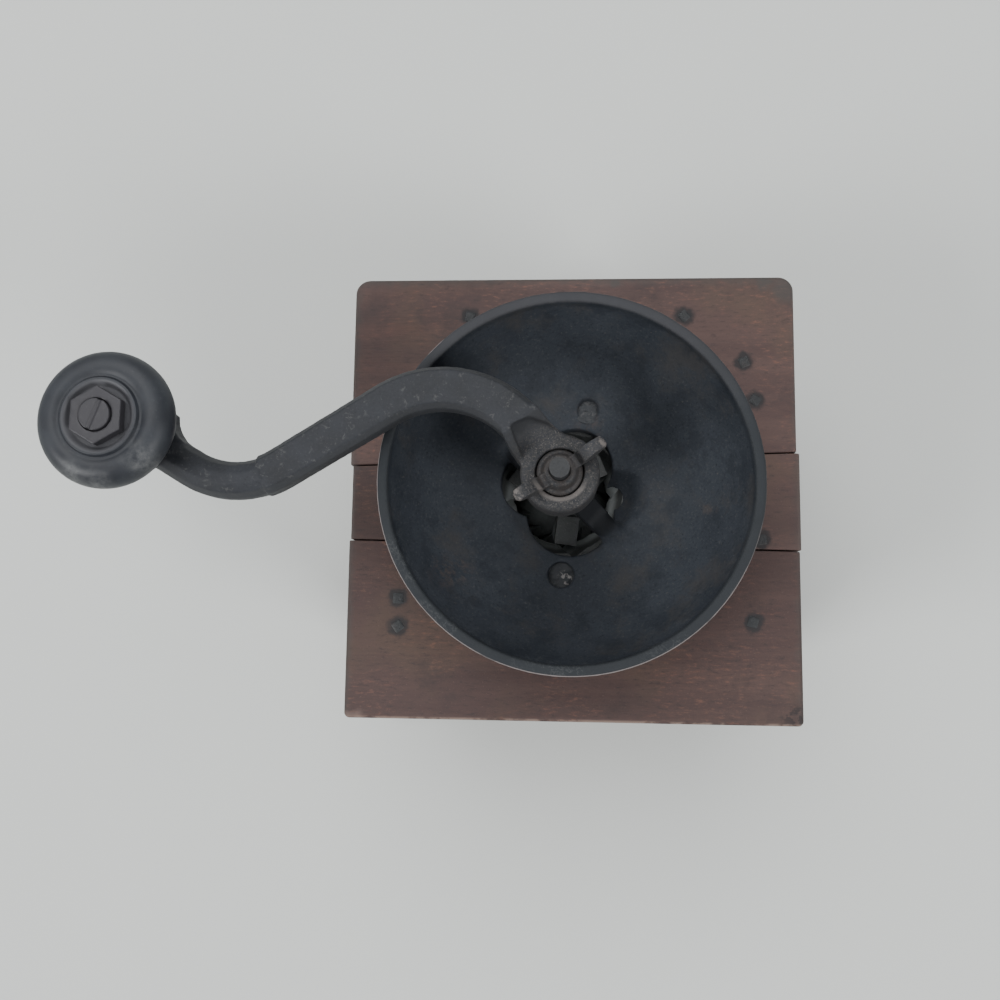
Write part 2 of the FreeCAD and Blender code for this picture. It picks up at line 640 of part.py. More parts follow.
def make_hopper():
    outer_curve = size.bowl_curve + size.bowl_shell
    rim_in = size.bowl_radius - size.rim_wide
    section = (
        (0, 0),
        (size.foot_radius, 0),
        (size.foot_radius, size.foot_high),
        (size.foot_neck, size.foot_high + 1.2),
        (size.foot_neck, size.foot_neck_high, outer_curve, "left", 4),
        (size.bowl_radius - 1.9, size.bowl_high - 9.2),
        (size.bowl_radius, size.bowl_high - 6.5),
        (size.bowl_radius, size.bowl_high - 1),
        (size.bowl_radius - 1, size.bowl_high),
        (rim_in + 0.7, size.bowl_high),
        (rim_in, size.bowl_high - 0.7),
        (rim_in, size.bowl_high - size.lip_high, size.bowl_curve, "right", 6),
        (size.bowl_floor_radius, size.bowl_floor_high),
        (0, size.bowl_floor_high),
    )
    bowl_x, bowl_y = from_axis(size.bowl_x, size.bowl_y)
    bowl = turned("bowl", section, bowl_x, bowl_y, face, sides=36)

    lobes = []
    for way in ("front", "left", "back"):
        lobe_x, lobe_y, radius = (getattr(size, f"{way}_lobe_{item}") for item in ("x", "y", "radius"))
        lobes.append(rod(f"{way}_lobe", *from_axis(lobe_x, lobe_y), face - 1, face + 12, radius))
    # The right lobe reaches past the grinding ring, so it slopes down to the ring's mouth.
    chute = document.addObject("Part::Cone", "chute")
    bind(chute, Radius1=size.chute_low_radius, Radius2=size.chute_radius * 2 - size.chute_low_radius,
         Height=size.chute_high * 2)
    lobes.append(place(chute, *from_axis(size.chute_x, size.chute_y), face))
    sinks = []
    for index, (x, y) in enumerate(bolt_places()):
        seat = face + size.bolt_seat_high
        sinks.append(rod(f"bolt_sink_{index}", x, y, seat, face + 16, size.bolt_head_radius, sides=24))
        sinks.append(rod(f"bolt_passage_{index}", x, y, face - 1, face + 16, size.bolt_radius + 0.2,
                         sides=12))
    keep(cut("hopper_open", bowl, *lobes, *sinks), "hopper")
    make_bridge(bowl)


def make_bridge(bowl):
    """Arch over the throat with the spindle's bearing; its feet stand on the bowl's floor."""
    arch = new_body("bridge_arch", size.axis_x, size.axis_y, face, turn=size.bridge_angle)
    side = (
        (-28, 4),
        (-19.5, 4),
        (1 - size.boss_radius, size.boss_low + 4),
        (size.boss_radius - 1, size.boss_low + 4),
        (20.5, 4),
        (29.5, 4),
        (29.5, 9.6),
        (22, 12.5, 24, "right", 3),
        (size.boss_radius - 0.5, size.boss_high - 4),
        (0.5 - size.boss_radius, size.boss_high - 4, 24, "right", 3),
        (-20.5, 13.5),
        (-28, 11.6),
    )
    pad(arch, outline(new_sketch(arch, "bridge_side", "XZ_Plane"), side), size.bridge_wide, symmetric=True)
    boss = at_axis("boss", (
        (0, size.boss_low),
        (size.boss_radius, size.boss_low),
        (size.boss_radius, size.boss_high - 2),
        (size.boss_radius + 1, size.boss_high - 2),
        (size.boss_radius + 1, size.boss_high),
        (0, size.boss_high),
    ), sides=24)
    bore = rod("spindle_bore", *from_axis(0, 0), face + size.boss_low - 1, face + size.boss_high + 1,
               size.spindle_radius + size.running_fit)
    keep(cut("bridge_bored", fuse("bridge_joined", arch, boss), bowl, bore), "bridge")


def axis_heading(x, y):
    """Direction from the spindle axis to a point, in degrees."""
    return math.degrees(math.atan2(y.value - size.axis_y.value, x.value - size.axis_x.value))


def bolt_places():
    return from_axis(size.bolt_one_x, size.bolt_one_y), from_axis(size.bolt_two_x, size.bolt_two_y)


def make_hopper_fasteners():
    bolts = []
    nuts = []
    ear_low = face - size.top_thick - size.ear_thick
    seat = face + size.bolt_seat_high
    for index, (x, y) in enumerate(bolt_places()):
        head_top = face + (size.bolt_two_high if index else size.bolt_one_high)
        head = rod(f"bolt_head_{index}", x, y, seat, head_top, size.bolt_head_radius, sides=24)
        slot = block(f"bolt_slot_{index}", (x - 6, y - 0.6, head_top - 1), (x + 6, y + 0.6, head_top + 1))
        bolts.append(cut(f"slotted_head_{index}", head, slot))
        bolts.append(rod(f"bolt_shank_{index}", x, y, face + size.bolt_end, seat, size.bolt_radius, sides=12))
        nut = square_rod(f"nut_block_{index}", x, y, ear_low - size.nut_thick, ear_low, size.nut_side,
                         turn=axis_heading(x, y))
        bore = rod(f"nut_bore_{index}", x, y, ear_low - size.nut_thick - 1, ear_low + 1, size.bolt_radius,
                   sides=12)
        nuts.append(cut(f"square_nut_{index}", nut, bore))
    keep(fuse("bolts_group", *bolts), "hopper_bolts")
    keep(fuse("nuts_group", *nuts), "hopper_nuts")


def groove(body, name, kind, low, high, depth, half_wide):
    """Straight tooth gap between two places, each (height, radius of the gap's bottom, slip). The gap
    is a triangle in plan, and it slips sideways on its way up. A positive depth opens outwards."""
    sections = []
    for word, (height, bottom, slip) in (("low", low), ("high", high)):
        sketch = new_sketch(body, f"{name}_{word}", "XY_Plane", shift=(0, 0, height))
        mouth = bottom + depth
        side = -half_wide if depth > 0 else half_wide
        sections.append(outline(sketch, ((bottom, slip), (mouth, slip + side), (mouth, slip - side))))
    return loft(body, name, kind, sections)


def loft(body, name, kind, sections):
    solid = body.newObject(f"PartDesign::{kind}Loft", name)
    solid.Profile = sections[0]
    solid.Sections = list(sections[1:])
    solid.Ruled = True
    return solid


def make_grinding_ring():
    body = at_axis("ring", (
        (size.ring_mouth, 0),
        (size.ring_waist, size.ring_waist_low),
        (size.ring_skirt, size.ring_low),
        (size.ring_radius, size.ring_low),
        (size.ring_radius, 0),
    ), sides=2 * int(size.ring_teeth.value))
    # Helical grooves leave teeth on the lower, grinding part of the ring.
    tooth_low = (size.ring_low - 0.5, size.ring_skirt + size.ring_groove, 0)
    tooth_high = (size.ring_waist_low, size.ring_waist + size.ring_groove * 1.4, -size.ring_slip)
    gap = groove(body, "ring_groove", "Subtractive", tooth_low, tooth_high, -3.6, 3)
    repeat_round(body, gap, size.ring_teeth)
    # Coarse ribs feed the beans down through the mouth.
    rib_low = (size.ring_waist_low - 1, size.ring_waist + 1.4, 0)
    rib_high = (0.5, size.ring_mouth + 1.8, size.ring_slip)
    mouth = groove(body, "mouth_groove", "Subtractive", rib_low, rib_high, -4, 5)
    repeat_round(body, mouth, size.mouth_ribs)
    ears = []
    holes = []
    top = face - size.top_thick
    for index, (x, y) in enumerate(bolt_places()):
        low = top - size.ear_thick
        ears.append(rod(f"ear_end_{index}", x, y, low, top, size.ear_radius))
        ear = new_body(f"ear_{index}", size.axis_x, size.axis_y, low, turn=axis_heading(x, y))
        ear_plan = rectangle(22.9, -size.ear_radius, 30.6, size.ear_radius)
        pad(ear, outline(new_sketch(ear, f"ear_plan_{index}", "XY_Plane"), ear_plan), size.ear_thick)
        ears.append(ear)
        holes.append(rod(f"ear_hole_{index}", x, y, low - 1, top + 1, size.bolt_radius + 0.2, sides=12))
    keep(cut("ring_bored", fuse("ring_with_ears", body, *ears), *holes), "grinding_ring")


def make_grinding_cone():
    body = at_axis("cone", (
        (0, size.cone_low),
        (size.cone_skirt - 1.5, size.cone_low),
        (size.cone_skirt, size.cone_low + 1.5),
        (size.cone_waist, size.ring_waist_low),
        (size.cone_top_radius, size.cone_top - 3),
        (size.cone_top_radius, size.cone_top),
        (0, size.cone_top),
    ), sides=2 * int(size.cone_teeth.value))
    # Crusher vanes: slanted walls that draw the beans down.
    half = size.vane_wide / 2
    slip = size.vane_slip
    turn = size.vane_angle.value
    vane_low = new_sketch(body, "vane_low", "XY_Plane", shift=(0, 0, size.ring_waist_low - 4), turn=turn)
    outline(vane_low, rectangle(3, -half / 2, size.cone_waist + 1.6, half / 2))
    vane_high = new_sketch(body, "vane_high", "XY_Plane", shift=(0, 0, size.vane_top), turn=turn)
    outline(vane_high, rectangle(size.collar_radius + 0.6, slip - half, size.vane_reach, slip + half))
    vane = loft(body, "vane", "Additive", (vane_low, vane_high))
    repeat_round(body, vane, size.vane_count)
    # Slanted grooves leave teeth on the grinding part of the cone.
    tooth_low = (size.cone_low - 0.5, size.cone_skirt - size.cone_groove, 0)
    tooth_high = (size.ring_waist_low - 4.2, size.cone_waist + 0.2, size.cone_slip)
    gap = groove(body, "cone_groove", "Subtractive", tooth_low, tooth_high, 3.6, 3.2)
    repeat_round(body, gap, size.cone_teeth)
    x, y = from_axis(0, 0)
    seat_low = face + size.cone_low - 1
    seat = square_rod("cone_seat", x, y, seat_low, face + size.cone_top + 1, size.cone_seat_side)
    keep(cut("cone_bored", body, seat), "grinding_cone")


def make_spindle():
    x, y = from_axis(0, 0)
    collar_top = face + size.cone_top + size.collar_high
    shaft_top = face + size.boss_high - 0.6
    seat_top = face + size.hub_floor - 0.7
    pieces = (
        rod("spindle_shaft", x, y, collar_top, shaft_top, size.spindle_radius),
        square_rod("spindle_seat", x, y, shaft_top, seat_top, size.seat_side),
        rod("spindle_thread", x, y, seat_top, face + size.spindle_top, size.thread_radius),
        rod("spindle_collar", x, y, face + size.cone_top, collar_top, size.collar_radius - 0.6),
        square_rod("spindle_cone_seat", x, y, face + size.cone_low, face + size.cone_top,
                   size.cone_seat_side),
        rod("spindle_low_thread", x, y, face + size.spindle_low, face + size.cone_low, size.thread_radius),
    )
    keep(fuse("spindle_joined", *pieces), "spindle")
    nut_top = face + size.cone_low
    nut_low = nut_top - size.cone_nut_thick
    nut = square_rod("cone_nut_block", x, y, nut_low, nut_top, size.cone_nut_side, turn=20)
    bore = rod("cone_nut_bore", x, y, nut_low - 1, nut_top + 1, size.thread_radius, sides=16)
    keep(cut("cone_nut_bored", nut, bore), "cone_nut")


def crank_line(body, name, from_hub):
    """Centre line of the crank in plan, from the hub or from the knob eye up to the step."""
    hub = Vector(0, 0, 0)
    shoulder = Vector(size.shoulder_x.value, size.shoulder_y.value, 0)
    elbow = Vector(size.elbow_x.value, size.elbow_y.value, 0)
    handle = Vector(size.handle_x.value, size.handle_y.value, 0)
    upper = bend(hub, shoulder, elbow, size.shoulder_bend.value)
    lower = bend(shoulder, elbow, handle, size.elbow_bend.value)
    step = step_point(lower, size.step_x.value)
    if from_hub:
        edges = [Part.LineSegment(hub, upper[0]), upper[2], Part.LineSegment(upper[1], lower[0]),
                 arc_between(lower[0], step, size.elbow_bend.value, "right")]
    else:
        edges = [Part.LineSegment(handle, lower[1]),
                 arc_between(lower[1], step, size.elbow_bend.value, "left")]
    sketch = new_sketch(body, name, "XY_Plane")
    sketch.addGeometry(edges)
    return sketch, step, step - lower[3]


def bend(before, corner, after, radius):
    """Start, end, arc and centre of the rounded corner between two straights."""
    back = (before - corner).normalize()
    ahead = (after - corner).normalize()
    half = back.getAngle(ahead) / 2
    start = corner + back * (radius / math.tan(half))
    end = corner + ahead * (radius / math.tan(half))
    centre = corner + (back + ahead).normalize() * (radius / math.sin(half))
    side = "left" if (corner - before).cross(after - corner).z > 0 else "right"
    return start, end, arc_between(start, end, radius, side), centre


def step_point(elbow, x):
    """Point of the elbow's arc with the given X."""
    centre = elbow[3]
    radius = (elbow[0] - centre).Length
    return Vector(x, centre.y - math.sqrt(radius**2 - (x - centre.x) ** 2), 0)


def bevelled(sketch, half_wide):
    """Section of the flat arm: a bar with bevelled edges, (across, height)."""
    bevel = size.arm_bevel
    inner = half_wide - bevel
    return outline(sketch, (
        (-inner, size.arm_low),
        (inner, size.arm_low),
        (half_wide, size.arm_low + bevel),
        (half_wide, size.arm_high - bevel),
        (inner + 0.6, size.arm_high),
        (-0.6 - inner, size.arm_high),
        (-half_wide, size.arm_high - bevel),
        (-half_wide, size.arm_low + bevel),
    ))


def across(body, name, point, heading):
    """Upright sketch through a point, square to a heading in plan."""
    turn = math.degrees(math.atan2(heading.y, heading.x)) + 90
    sketch = new_sketch(body, name, "XZ_Plane", turn=turn, axis=Vector(0, 1, 0))
    base = Vector(point.x, 0, -point.y)
    sketch.setExpression(".AttachmentOffset.Base.x", None)
    sketch.setExpression(".AttachmentOffset.Base.z", None)
    sketch.AttachmentOffset = Placement(base, Rotation(Vector(0, 1, 0), turn))
    return sketch


def sweep(body, name, sections, path):
    swept = body.newObject("PartDesign::AdditivePipe", name)
    swept.Profile = sections[0]
    swept.Spine = path
    if len(sections) > 1:
        swept.Transformation = "Multisection"
        swept.Sections = list(sections[1:])
    return swept


def make_crank():
    body = new_body("crank_arm", size.axis_x, size.axis_y, face)
    shoulder = Vector(size.shoulder_x.value, size.shoulder_y.value, 0)
    handle = Vector(size.handle_x.value, size.handle_y.value, 0)
    elbow = Vector(size.elbow_x.value, size.elbow_y.value, 0)
    arm_path, step, radial = crank_line(body, "arm_line", True)
    bar_path, _, _ = crank_line(body, "bar_line", False)
    start = shoulder.normalize() * size.neck_end.value
    along = Vector(radial.y, -radial.x, 0)
    hub_end = bevelled(across(body, "arm_at_hub", Vector(0, 0, 0), start), size.arm_wide / 2)
    step_end = bevelled(across(body, "arm_at_step", step, -along), size.arm_end_wide / 2)
    document.recompute()
    sweep(body, "arm", (hub_end, step_end), arm_path)
    document.recompute()
    bar_section = across(body, "bar_section", handle, elbow - handle)
    rim_points = []
    for index in range(12):
        angle = math.radians(30 * (index + 0.5))
        rise = size.bar_radius * math.sin(angle)
        rim_points.append((size.bar_radius * math.cos(angle), size.bar_high + rise))
    outline(bar_section, rim_points)
    document.recompute()
    sweep(body, "bar", (bar_section,), bar_path)
    document.recompute()
    x, y = from_axis(0, 0)
    # The arm rises from the hub: everything over the neck's slope is cut away.
    heading = math.degrees(math.atan2(start.y, start.x))
    over = new_body("neck_space", x, y, face, turn=heading)
    space = (
        (-12, size.arm_low - 2),
        (size.neck_start - 2, size.arm_low - 2),
        (size.neck_start, size.hub_high),
        (size.neck_end, size.arm_high),
        (size.neck_end, size.arm_high + 4),
        (-12, size.arm_high + 4),
    )
    pad(over, outline(new_sketch(over, "neck_space_side", "XZ_Plane"), space), 40, symmetric=True)
    neck_side = new_body("neck_side", x, y, face, turn=heading)
    slope = (
        (0, size.hub_low + 2),
        (size.hub_radius - 2, size.hub_low + 2),
        (size.neck_end + 3, size.arm_low + 0.6),
        (size.neck_end + 3, size.arm_high - 1),
        (size.neck_end, size.arm_high),
        (size.neck_start, size.hub_high),
        (0, size.hub_high - 0.4),
    )
    pad(neck_side, outline(new_sketch(neck_side, "neck_slope", "XZ_Plane"), slope), 40, symmetric=True)
    # In plan one side of the neck runs straight on and the other flares into the hub.
    neck_plan = new_body("neck_plan", x, y, face, turn=heading)
    half_arm = size.arm_wide / 2
    flare = (
        (0, -size.hub_radius),
        (3.5, 0.5 - size.hub_radius, size.neck_flare, "right"),
        (size.neck_end, -half_arm),
        (size.neck_end + 4, 1 - half_arm),
        (size.neck_end + 4, half_arm - 1),
        (size.neck_end - 4, size.neck_wide),
        (0, size.neck_wide),
    )
    plan = outline(new_sketch(neck_plan, "neck_outline", "XY_Plane", shift=(0, 0, size.hub_low)), flare)
    pad(neck_plan, plan, 30)
    neck = common("neck", neck_side, neck_plan)
    # A scoop in the slope, wider at the hub, leaves a rim along each side of the neck.
    scoop_side = new_body("scoop_side", x, y, face, turn=heading)
    hollow = (
        (size.neck_start, size.hub_high - 0.4, size.scoop_radius, "left"),
        (size.neck_end + 0.8, size.arm_high + 0.3),
        (size.neck_end + 0.8, size.arm_high + 3),
        (size.neck_start, size.arm_high + 3),
    )
    pad(scoop_side, outline(new_sketch(scoop_side, "scoop_curve", "XZ_Plane"), hollow), 40, symmetric=True)
    scoop_plan = new_body("scoop_plan", x, y, face, turn=heading)
    edge = (
        (size.neck_start - 1, -8.2),
        (size.neck_start + 3.6, -6.6),
        (size.neck_end - 0.8, -2.8),
        (size.neck_end + 1, 3.4),
        (size.neck_start - 1, 6.4),
    )
    rim = outline(new_sketch(scoop_plan, "scoop_outline", "XY_Plane", shift=(0, 0, size.hub_low)), edge)
    pad(scoop_plan, rim, 40)
    scoop = common("scoop", scoop_side, scoop_plan)
    hub = at_axis("hub", (
        (0, size.hub_low),
        (size.hub_radius, size.hub_low),
        (size.hub_radius, size.hub_high - 1.8),
        (size.hub_radius - 0.5, size.hub_high - 0.6),
        (size.hub_radius - 1.6, size.hub_high),
        (0, size.hub_high),
    ))
    eye_x, eye_y = from_axis(size.handle_x, size.handle_y)
    eye = turned("eye", (
        (0, size.arm_low - 1.7),
        (size.eye_radius - 4, size.arm_low - 1.7),
        (size.eye_radius, size.arm_low + 2),
        (size.eye_radius, size.eye_high),
        (0, size.eye_high),
    ), eye_x, eye_y, face, sides=24)
    # One side of the bar flares into the eye.
    bar_heading = math.degrees(math.atan2(elbow.y - handle.y, elbow.x - handle.x))
    flare_body = new_body("eye_flare", eye_x, eye_y, face, turn=bar_heading)
    web = (
        (0, 4),
        (17.5, 4),
        (17.5, size.bar_radius - 0.5, size.eye_flare, "right", 4),
        (8, 12),
        (0, size.eye_radius - 0.2),
    )
    low = size.bar_high - 4.5
    eye_web = outline(new_sketch(flare_body, "eye_web", "XY_Plane", shift=(0, 0, low)), web)
    pad(flare_body, eye_web, 9)
    casting = fuse("crank_casting", cut("arm_cut_back", body, over), neck, hub, eye, flare_body)
    cup = rod("cup", x, y, face + size.hub_floor, face + size.hub_high + 3, size.cup_radius)
    square = square_rod("crank_square", x, y, face + size.hub_low - 1, face + size.hub_floor + 1,
                        size.seat_side + size.seat_gap * 2)
    stud_hole = rod("stud_hole", eye_x, eye_y, face + size.stud_low, face + size.eye_high + 1,
                    size.stud_radius)
    keep(cut("crank_bored", casting, scoop, cup, square, stud_hole), "crank")


def make_wing_nut():
    low = size.hub_floor + size.wing_drop
    hub = at_axis("wing_hub", (
        (0, low),
        (size.wing_hub_radius, low),
        (size.wing_hub_radius, low + 4),
        (size.wing_hub_top, size.wing_hub_high - 0.6),
        (size.wing_hub_top - 0.6, size.wing_hub_high),
        (0, size.wing_hub_high),
    ), sides=24)
    bore = rod("wing_bore", *from_axis(0, 0), face + low - 1, face + size.wing_hub_high + 1,
               size.thread_radius + size.running_fit)
    wings = [hub]
    for index in range(2):
        wing = new_body(f"wing_{index}", *from_axis(0, 0), face, turn=size.wing_angle + 180 * index)
        side = (
            (size.wing_hub_top - 1.2, size.wing_low - 2),
            (size.wing_hub_top + 2, size.wing_low),
            (size.wing_reach - 4.6, size.wing_low + 0.3),
            (size.wing_reach - 0.6, size.wing_high - 3.2),
            (size.wing_reach, size.wing_high - 2.2, 4, "left", 3),
            (size.wing_reach - 4, size.wing_high, 8, "left", 3),
            (size.wing_hub_top + 1.5, size.wing_hub_high - 0.6),
            (size.wing_hub_top - 1.2, size.wing_hub_high - 0.6),
        )
        pad(wing, outline(new_sketch(wing, f"wing_side_{index}", "XZ_Plane"), side), 8, symmetric=True)
        # Seen from above a wing narrows a little and its end is bevelled.
        half = size.wing_thick / 2
        taper = new_body(f"wing_taper_{index}", *from_axis(0, 0), face, turn=size.wing_angle + 180 * index)
        plan = (
            (0, -half - 0.5),
            (size.wing_reach - 1, -half),
            (size.wing_reach, 1 - half),
            (size.wing_reach, half - 1),
            (size.wing_reach - 1, half),
            (0, half + 0.5),
        )
        wing_plan = new_sketch(taper, f"wing_plan_{index}", "XY_Plane", shift=(0, 0, size.hub_floor))
        pad(taper, outline(wing_plan, plan), 20)
        wings.append(common(f"wing_shaped_{index}", wing, taper))
    keep(cut("wing_nut_bored", fuse("wing_nut_joined", *wings), bore), "wing_nut")


def make_knob():
    x, y = from_axis(size.handle_x, size.handle_y)
    knob = turned("knob_turned", (
        (0, size.knob_low),
        (size.knob_foot_radius - 0.6, size.knob_low),
        (size.knob_foot_radius, size.knob_low + 0.6),
        (size.knob_foot_radius, size.knob_foot_high - 0.4),
        (size.knob_neck_radius, size.knob_neck_high, 14, "right", 2),
        (size.knob_radius - 3.6, size.knob_wide_high - 5.8, size.knob_bulge + 0.472, "left", 3),
        (size.knob_radius, size.knob_wide_high, size.knob_bulge, "left", 4),
        (size.knob_radius - size.knob_bulge, size.knob_wide_high + size.knob_bulge),
        (size.knob_cove_radius, size.knob_cove_high),
        (size.knob_lip_radius + 0.7, size.knob_cove_high - 0.2),
        (size.knob_lip_radius, size.knob_lip_high),
        (size.knob_well_radius + 0.5, size.knob_lip_high),
        (size.knob_well_radius, size.knob_lip_high - 0.5),
        (size.knob_well_radius, size.knob_well_high),
        (0, size.knob_well_high),
    ), x, y, face, sides=30)
    knob_bore = rod("knob_bore", x, y, face + size.knob_low - 1, face + size.knob_lip_high + 1,
                    size.stud_radius + size.running_fit)
    keep(cut("knob_bored", knob, knob_bore), "crank_knob")
    shaft = rod("stud_shaft", x, y, face + size.stud_low, face + size.stud_high, size.stud_radius)
    slot = new_body("stud_slot", x, y, face + size.stud_high - size.stud_slot_deep, turn=size.stud_slot_angle)
    half = size.stud_slot_wide / 2
    slot_plan = outline(new_sketch(slot, "stud_slot_plan", "XY_Plane"), rectangle(-8, -half, 8, half))
    pad(slot, slot_plan, 4)
    keep(cut("stud_slotted", shaft, slot), "knob_stud")
    hexagon = document.addObject("Part::Prism", "hex_block")
    hexagon.Polygon = 6
    nut_low = face + size.knob_well_high + 0.3
    bind(hexagon, Circumradius=size.hex_flats / math.sqrt(3), Height=face + size.hex_high - nut_low)
    place(hexagon, x, y, nut_low, turn=30)
    bore = rod("hex_bore", x, y, nut_low - 1, face + size.hex_high + 1, size.stud_radius, sides=16)
    keep(cut("hex_bored", hexagon, bore), "knob_nut")


def make_drawer():
    low = wall_low + size.drawer_play
    front_high = opening_top - size.drawer_play
    side_high = low + size.drawer_side_high
    half = wall_in - size.drawer_play
    front_face = -wall_out
    front_back = front_face + size.drawer_front_thick
    end = wall_in - size.drawer_end_gap
    side = size.drawer_side_thick
    lap_y = front_back - size.drawer_lap
    board = block("drawer_front_board", (-half, front_face, low), (half, front_back, front_high))
    laps = [block("lap_left", (-half, lap_y, low), (side - half, front_back, side_high)),
            block("lap_right", (half - side, lap_y, low), (half, front_back, side_high))]
    pull_high = (low + front_high) / 2
    forward = Rotation(Vector(1, 0, 0), 90)
    # The knob's screw has its head sunk into the back of the front board.
    head_space = turned("pull_head_space", rectangle(0, -1, size.screw_head, size.screw_head_thick),
                        0, front_back, pull_high, tilt=forward, sides=12)
    screw_hole = turned("pull_screw_hole", rectangle(0, -1, size.screw_radius, size.drawer_front_thick + 2),
                        0, front_back, pull_high, tilt=forward, sides=12)
    keep(cut("drawer_front_cut", board, *laps, head_space, screw_hole), "drawer_front")
    keep(block("drawer_left", (-half, lap_y, low), (side - half, end, side_high)), "drawer_side_left")
    keep(block("drawer_right", (half - side, lap_y, low), (half, end, side_high)), "drawer_side_right")
    keep(block("drawer_end", (side - half, end - side, low), (half - side, end, side_high)), "drawer_back")
    floor_high = low + size.drawer_bottom_thick
    floor = block("drawer_floor", (side - half, front_back, low), (half - side, end - side, floor_high))
    keep(floor, "drawer_bottom")
    knob = turned("pull_turned", (
        (0, 0),
        (size.pull_neck + 1.5, 0),
        (size.pull_neck + 1.5, 1.5),
        (size.pull_neck, 3),
        (size.pull_neck + 0.8, 5.5),
        (size.pull_radius, size.pull_reach - 6, 5.5, "left", 3),
        (size.pull_radius - 3.5, size.pull_reach - 0.8),
        (0, size.pull_reach),
    ), 0, front_face, pull_high, tilt=forward, sides=24)
    pilot = turned("pull_pilot", rectangle(0, -1, size.screw_radius, 9),
                   0, front_face, pull_high, tilt=forward, sides=12)
    keep(cut("pull_bored", knob, pilot), "drawer_knob")
    keep(turned("pull_screw", (
        (0, 0),
        (size.screw_head, 0),
        (size.screw_head, size.screw_head_thick),
        (size.screw_radius, size.screw_head_thick),
        (size.screw_radius, size.drawer_front_thick + 9),
        (0, size.drawer_front_thick + 9),
    ), 0, front_back, pull_high, tilt=forward, sides=12), "drawer_knob_screw")
    nails = []
    for way, word in ((-1, "left"), (1, "right")):
        for index, nail_y in enumerate((lap_y + 1.8, end - side / 2)):
            for level in (9, 31):
                name = f"drawer_nail_{word}_{index}_{level}"
                nails += drawer_nail(name, way, half, nail_y, low + level)
    keep(fuse("drawer_nails_group", *nails), "drawer_nails")


def drawer_nail(name, way, side_face, y, z):
    """Cut nail driven in sideways: its head lies flush in the drawer's side."""
    parts = []
    for word, side, start, end in (("head", size.small_nail_head, 0.1, 0.9),
                                   ("shank", size.small_nail_side, 0.9, size.small_nail_long)):
        near = side_face * way - way * as_size(start)
        far = side_face * way - way * as_size(end)
        x_low, x_high = (near, far) if way < 0 else (far, near)
        half = side / 2
        parts.append(block(f"{name}_{word}", (x_low, y - half, z - half), (x_high, y + half, z + half)))
    return parts


def check_objects():
    for item in document.Objects:
        if {"Invalid", "Error"} & set(item.State):
            raise SystemExit(f"{item.Name} failed: {item.State}")
    for item in nodes:
        shape = item.Shape
        if shape.isNull() or not shape.isValid() or not shape.Solids:
            raise SystemExit(f"{item.Label} has no valid solid")


for make in (make_base, make_walls, make_top, make_top_nails, make_base_nails, make_hopper,
             make_hopper_fasteners, make_grinding_ring, make_grinding_cone, make_spindle, make_crank,
             make_wing_nut, make_knob, make_drawer):
    make()
document.recompute()
check_objects()
os.makedirs("parts", exist_ok=True)
for item in nodes:
    item.Shape.exportStep(f"parts/{item.Label}.step")
    box = item.Shape.BoundBox
    spans = ((box.XMin, box.XMax), (box.YMin, box.YMax), (box.ZMin, box.ZMax))
    reach = ", ".join(f"{low:.1f}..{high:.1f}" for low, high in spans)
    print(f"{item.Label}: {len(item.Shape.Solids)} solids, {len(item.Shape.Faces)} faces, {reach}")
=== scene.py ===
import json
import math

import bmesh
import bpy
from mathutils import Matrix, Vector


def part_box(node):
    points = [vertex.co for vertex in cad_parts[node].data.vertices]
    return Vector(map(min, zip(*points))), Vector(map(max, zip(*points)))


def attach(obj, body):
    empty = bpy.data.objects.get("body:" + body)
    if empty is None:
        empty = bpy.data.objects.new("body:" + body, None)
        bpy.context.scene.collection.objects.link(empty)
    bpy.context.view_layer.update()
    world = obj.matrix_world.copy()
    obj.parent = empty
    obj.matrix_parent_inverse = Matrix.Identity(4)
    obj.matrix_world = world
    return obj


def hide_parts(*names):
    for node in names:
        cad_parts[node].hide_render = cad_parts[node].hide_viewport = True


# Box coffee mill seen from above. The scene is in metres, in the frame's own axes: X to the right,
# Y to the back, Z up from the underside of the base board. Profiles and places on the mill are
# written in millimetres, with heights counted from the top's face.

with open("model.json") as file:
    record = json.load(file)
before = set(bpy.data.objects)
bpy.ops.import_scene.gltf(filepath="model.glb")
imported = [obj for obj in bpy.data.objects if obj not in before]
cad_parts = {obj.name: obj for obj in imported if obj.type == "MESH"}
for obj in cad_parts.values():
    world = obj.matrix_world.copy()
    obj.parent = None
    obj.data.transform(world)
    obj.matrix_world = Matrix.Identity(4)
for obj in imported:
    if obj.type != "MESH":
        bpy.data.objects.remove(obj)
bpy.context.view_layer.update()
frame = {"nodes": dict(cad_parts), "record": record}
nodes = frame["nodes"]
BODY = {node: body for body, group in frame["record"]["behaviour"]["bodies"].items() for node in group}
SLOT = {part["node"]: part["material_slot"] for part in frame["record"]["subparts"]}

MM = 0.001


def middle_of(node):
    """Middle of a node's box, seen from above."""
    low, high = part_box(node)
    return Vector(((low[0] + high[0]) / 2, (low[1] + high[1]) / 2))


# Places that shapes and looks depend on, taken from the frame.
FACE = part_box("top_board_back")[1][2]
SPINDLE = middle_of("spindle")
BOWL = middle_of("hopper")
HANDLE = middle_of("crank_knob")
RIM_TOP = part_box("hopper")[1][2]
RIM_RADIUS = (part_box("hopper")[1][0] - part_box("hopper")[0][0]) / 2

# The camera stands over the mill and leans a little, in degrees, as in the photograph.
CAMERA_PLACE = (-0.001059, -0.049062, 0.492503)
CAMERA_LEAN = (7.151, 3.776, 0.815)
CAMERA_LENS = 36.83
CAMERA_SENSOR = 36
CAMERA_NEAR = 0.01

# Steps round the axis of a turned form.
BOWL_STEPS = 144
KNOB_STEPS = 120
SMALL_STEPS = 64
BORE_STEPS = 48

